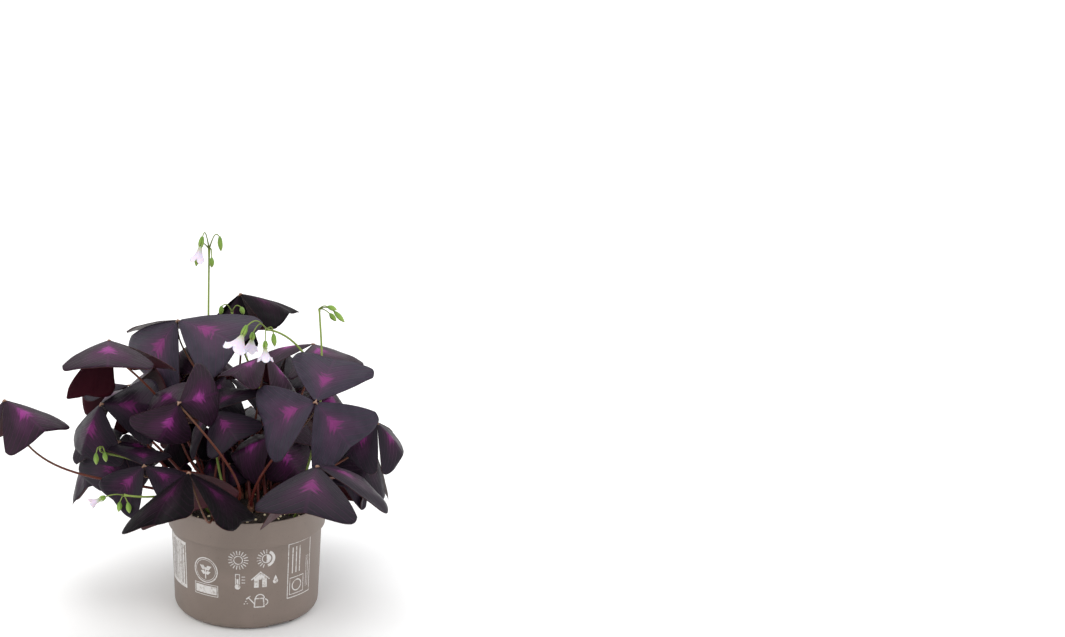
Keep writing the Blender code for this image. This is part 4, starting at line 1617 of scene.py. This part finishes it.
@dataclass
class Studio:
    """Pale floor, soft light and the camera at the photograph's place."""

    lens: float = 85.0
    eye: Point3 = (0.0, -1785.78, 803.02)
    forward: Point3 = (0.11259, 0.94602, -0.30392)
    up: Point3 = (-0.00322, 0.30621, 0.95196)
    floor_size: float = 24000.0
    floor_height: float = -0.05
    aim: Point3 = (0.0, 0.0, 0.12)
    floor_colour: str = "#fafafa"

    def floor(self) -> None:
        """Lay the floor."""
        material, tree, where = new_material("matte_paper_floor")
        fleck = add_node(tree, "TexNoise", {"Vector": where.outputs["Object"], "Scale": 3.0})
        bump = add_node(tree, "Bump", {"Height": fleck, "Strength": 0.02})
        dress(material, {"Base Color": srgb(self.floor_colour), "Normal": bump, "Roughness": 0.9})
        half = self.floor_size / 2.0
        draft = Draft()
        draft.grid([[Vector((x, y, self.floor_height)) for x in (-half, half)] for y in (-half, half)])
        draft.build("studio_floor", [material])

    def lamp(self, name: str, place: Point3, size: float, power: float, tint: str) -> None:
        """Hang one soft area lamp that faces the plant.

        Args:
            name: name of the lamp.
            place: its place, in metres.
            size: side of its square, in metres.
            power: its power, in watts.
            tint: colour of its light.
        """
        data = bpy.data.lights.new(name, "AREA")
        data.energy = power
        data.size = size
        data.color = srgb(tint)[:3]
        lamp = bpy.data.objects.new(name, data)
        lamp.location = place
        beam = Vector(self.aim) - Vector(place)
        lamp.rotation_euler = beam.to_track_quat("-Z", "Y").to_euler()
        bpy.context.scene.collection.objects.link(lamp)

    def camera(self) -> None:
        """Stand the camera."""
        data = bpy.data.cameras.new("view_camera")
        data.lens = self.lens
        data.sensor_width = 36.0
        data.sensor_fit = "HORIZONTAL"
        camera = bpy.data.objects.new("view_camera", data)
        back = -Vector(self.forward).normalized()
        right = Vector(self.up).cross(back).normalized()
        upright = back.cross(right)
        turn = Matrix((right, upright, back)).transposed()
        camera.matrix_world = Matrix.Translation(Vector(self.eye) * MM) @ turn.to_4x4()
        bpy.context.scene.collection.objects.link(camera)
        bpy.context.scene.camera = camera

    def build(self) -> None:
        """Set up the whole studio."""
        bpy.context.scene.view_settings.view_transform = "Standard"
        self.floor()
        self.lamp("key_softbox", (-1.1, -1.2, 1.7), 1.4, 15.0, "#fffdf8")
        self.lamp("fill_softbox", (1.5, -1.0, 1.1), 1.4, 6.0, "#f6f9ff")
        self.lamp("top_softbox", (0.1, 0.9, 1.9), 1.6, 12.0, "#ffffff")
        world = bpy.data.worlds.new("pale_room")
        world.use_nodes = True
        background = world.node_tree.nodes["Background"]
        background.inputs["Color"].default_value = srgb("#ffffff")
        background.inputs["Strength"].default_value = 1.05
        bpy.context.scene.world = world
        self.camera()


def main() -> None:
    """Build and dress every piece in order."""
    logging.basicConfig(level=logging.INFO)
    Studio().build()
    pot = NurseryPot()
    settle(pot.build([MouldedPlastic().material()]), "nursery_pot")
    LOG.info("pot built")
    settle(CarePrint(pot).build([PadInk().material()]), "nursery_pot", stands_for=False)
    settle(GrowingMedium().build([PEAT.material(), PERLITE.material()]), "growing_medium")
    LOG.info("growing medium built")
    skins = {tone: tone.value.material() for tone in LeafTone}
    underside, edge, cushion = UNDERSIDE.material(), BLADE_EDGE.material(), CUSHION.material()
    plant = []
    for place in LEAVES:
        blade = LeafBlade(place).build([skins[place.tone], underside, edge, cushion])
        settle(blade, place.node)
        plant.append(blade)
    LOG.info("%d leaf blades built", len(LEAVES))
    stem, scale = PETIOLE.material(), SCALE.material()
    for key in sorted({place.clump for place in LEAVES}):
        plant.append(StemClump(key).build([stem, scale]))
        settle(plant[-1], "rhizome_stems_" + key)
    LOG.info("leaf stems built")
    stalk, sepal, petal = SCAPE.material(), SEPAL.material(), PETAL.material()
    for scape in SCAPES:
        for node, piece in scape.build([stalk, sepal], [petal]).items():
            settle(piece, node)
            plant.append(piece)
        LOG.info("%s built", scape.name)
    young = Undergrowth().build(plant, [skins[SLATE], underside, edge, cushion, stem])
    settle(young, "rhizome_stems_c", stands_for=False)


if __name__ == "__main__":
    main()
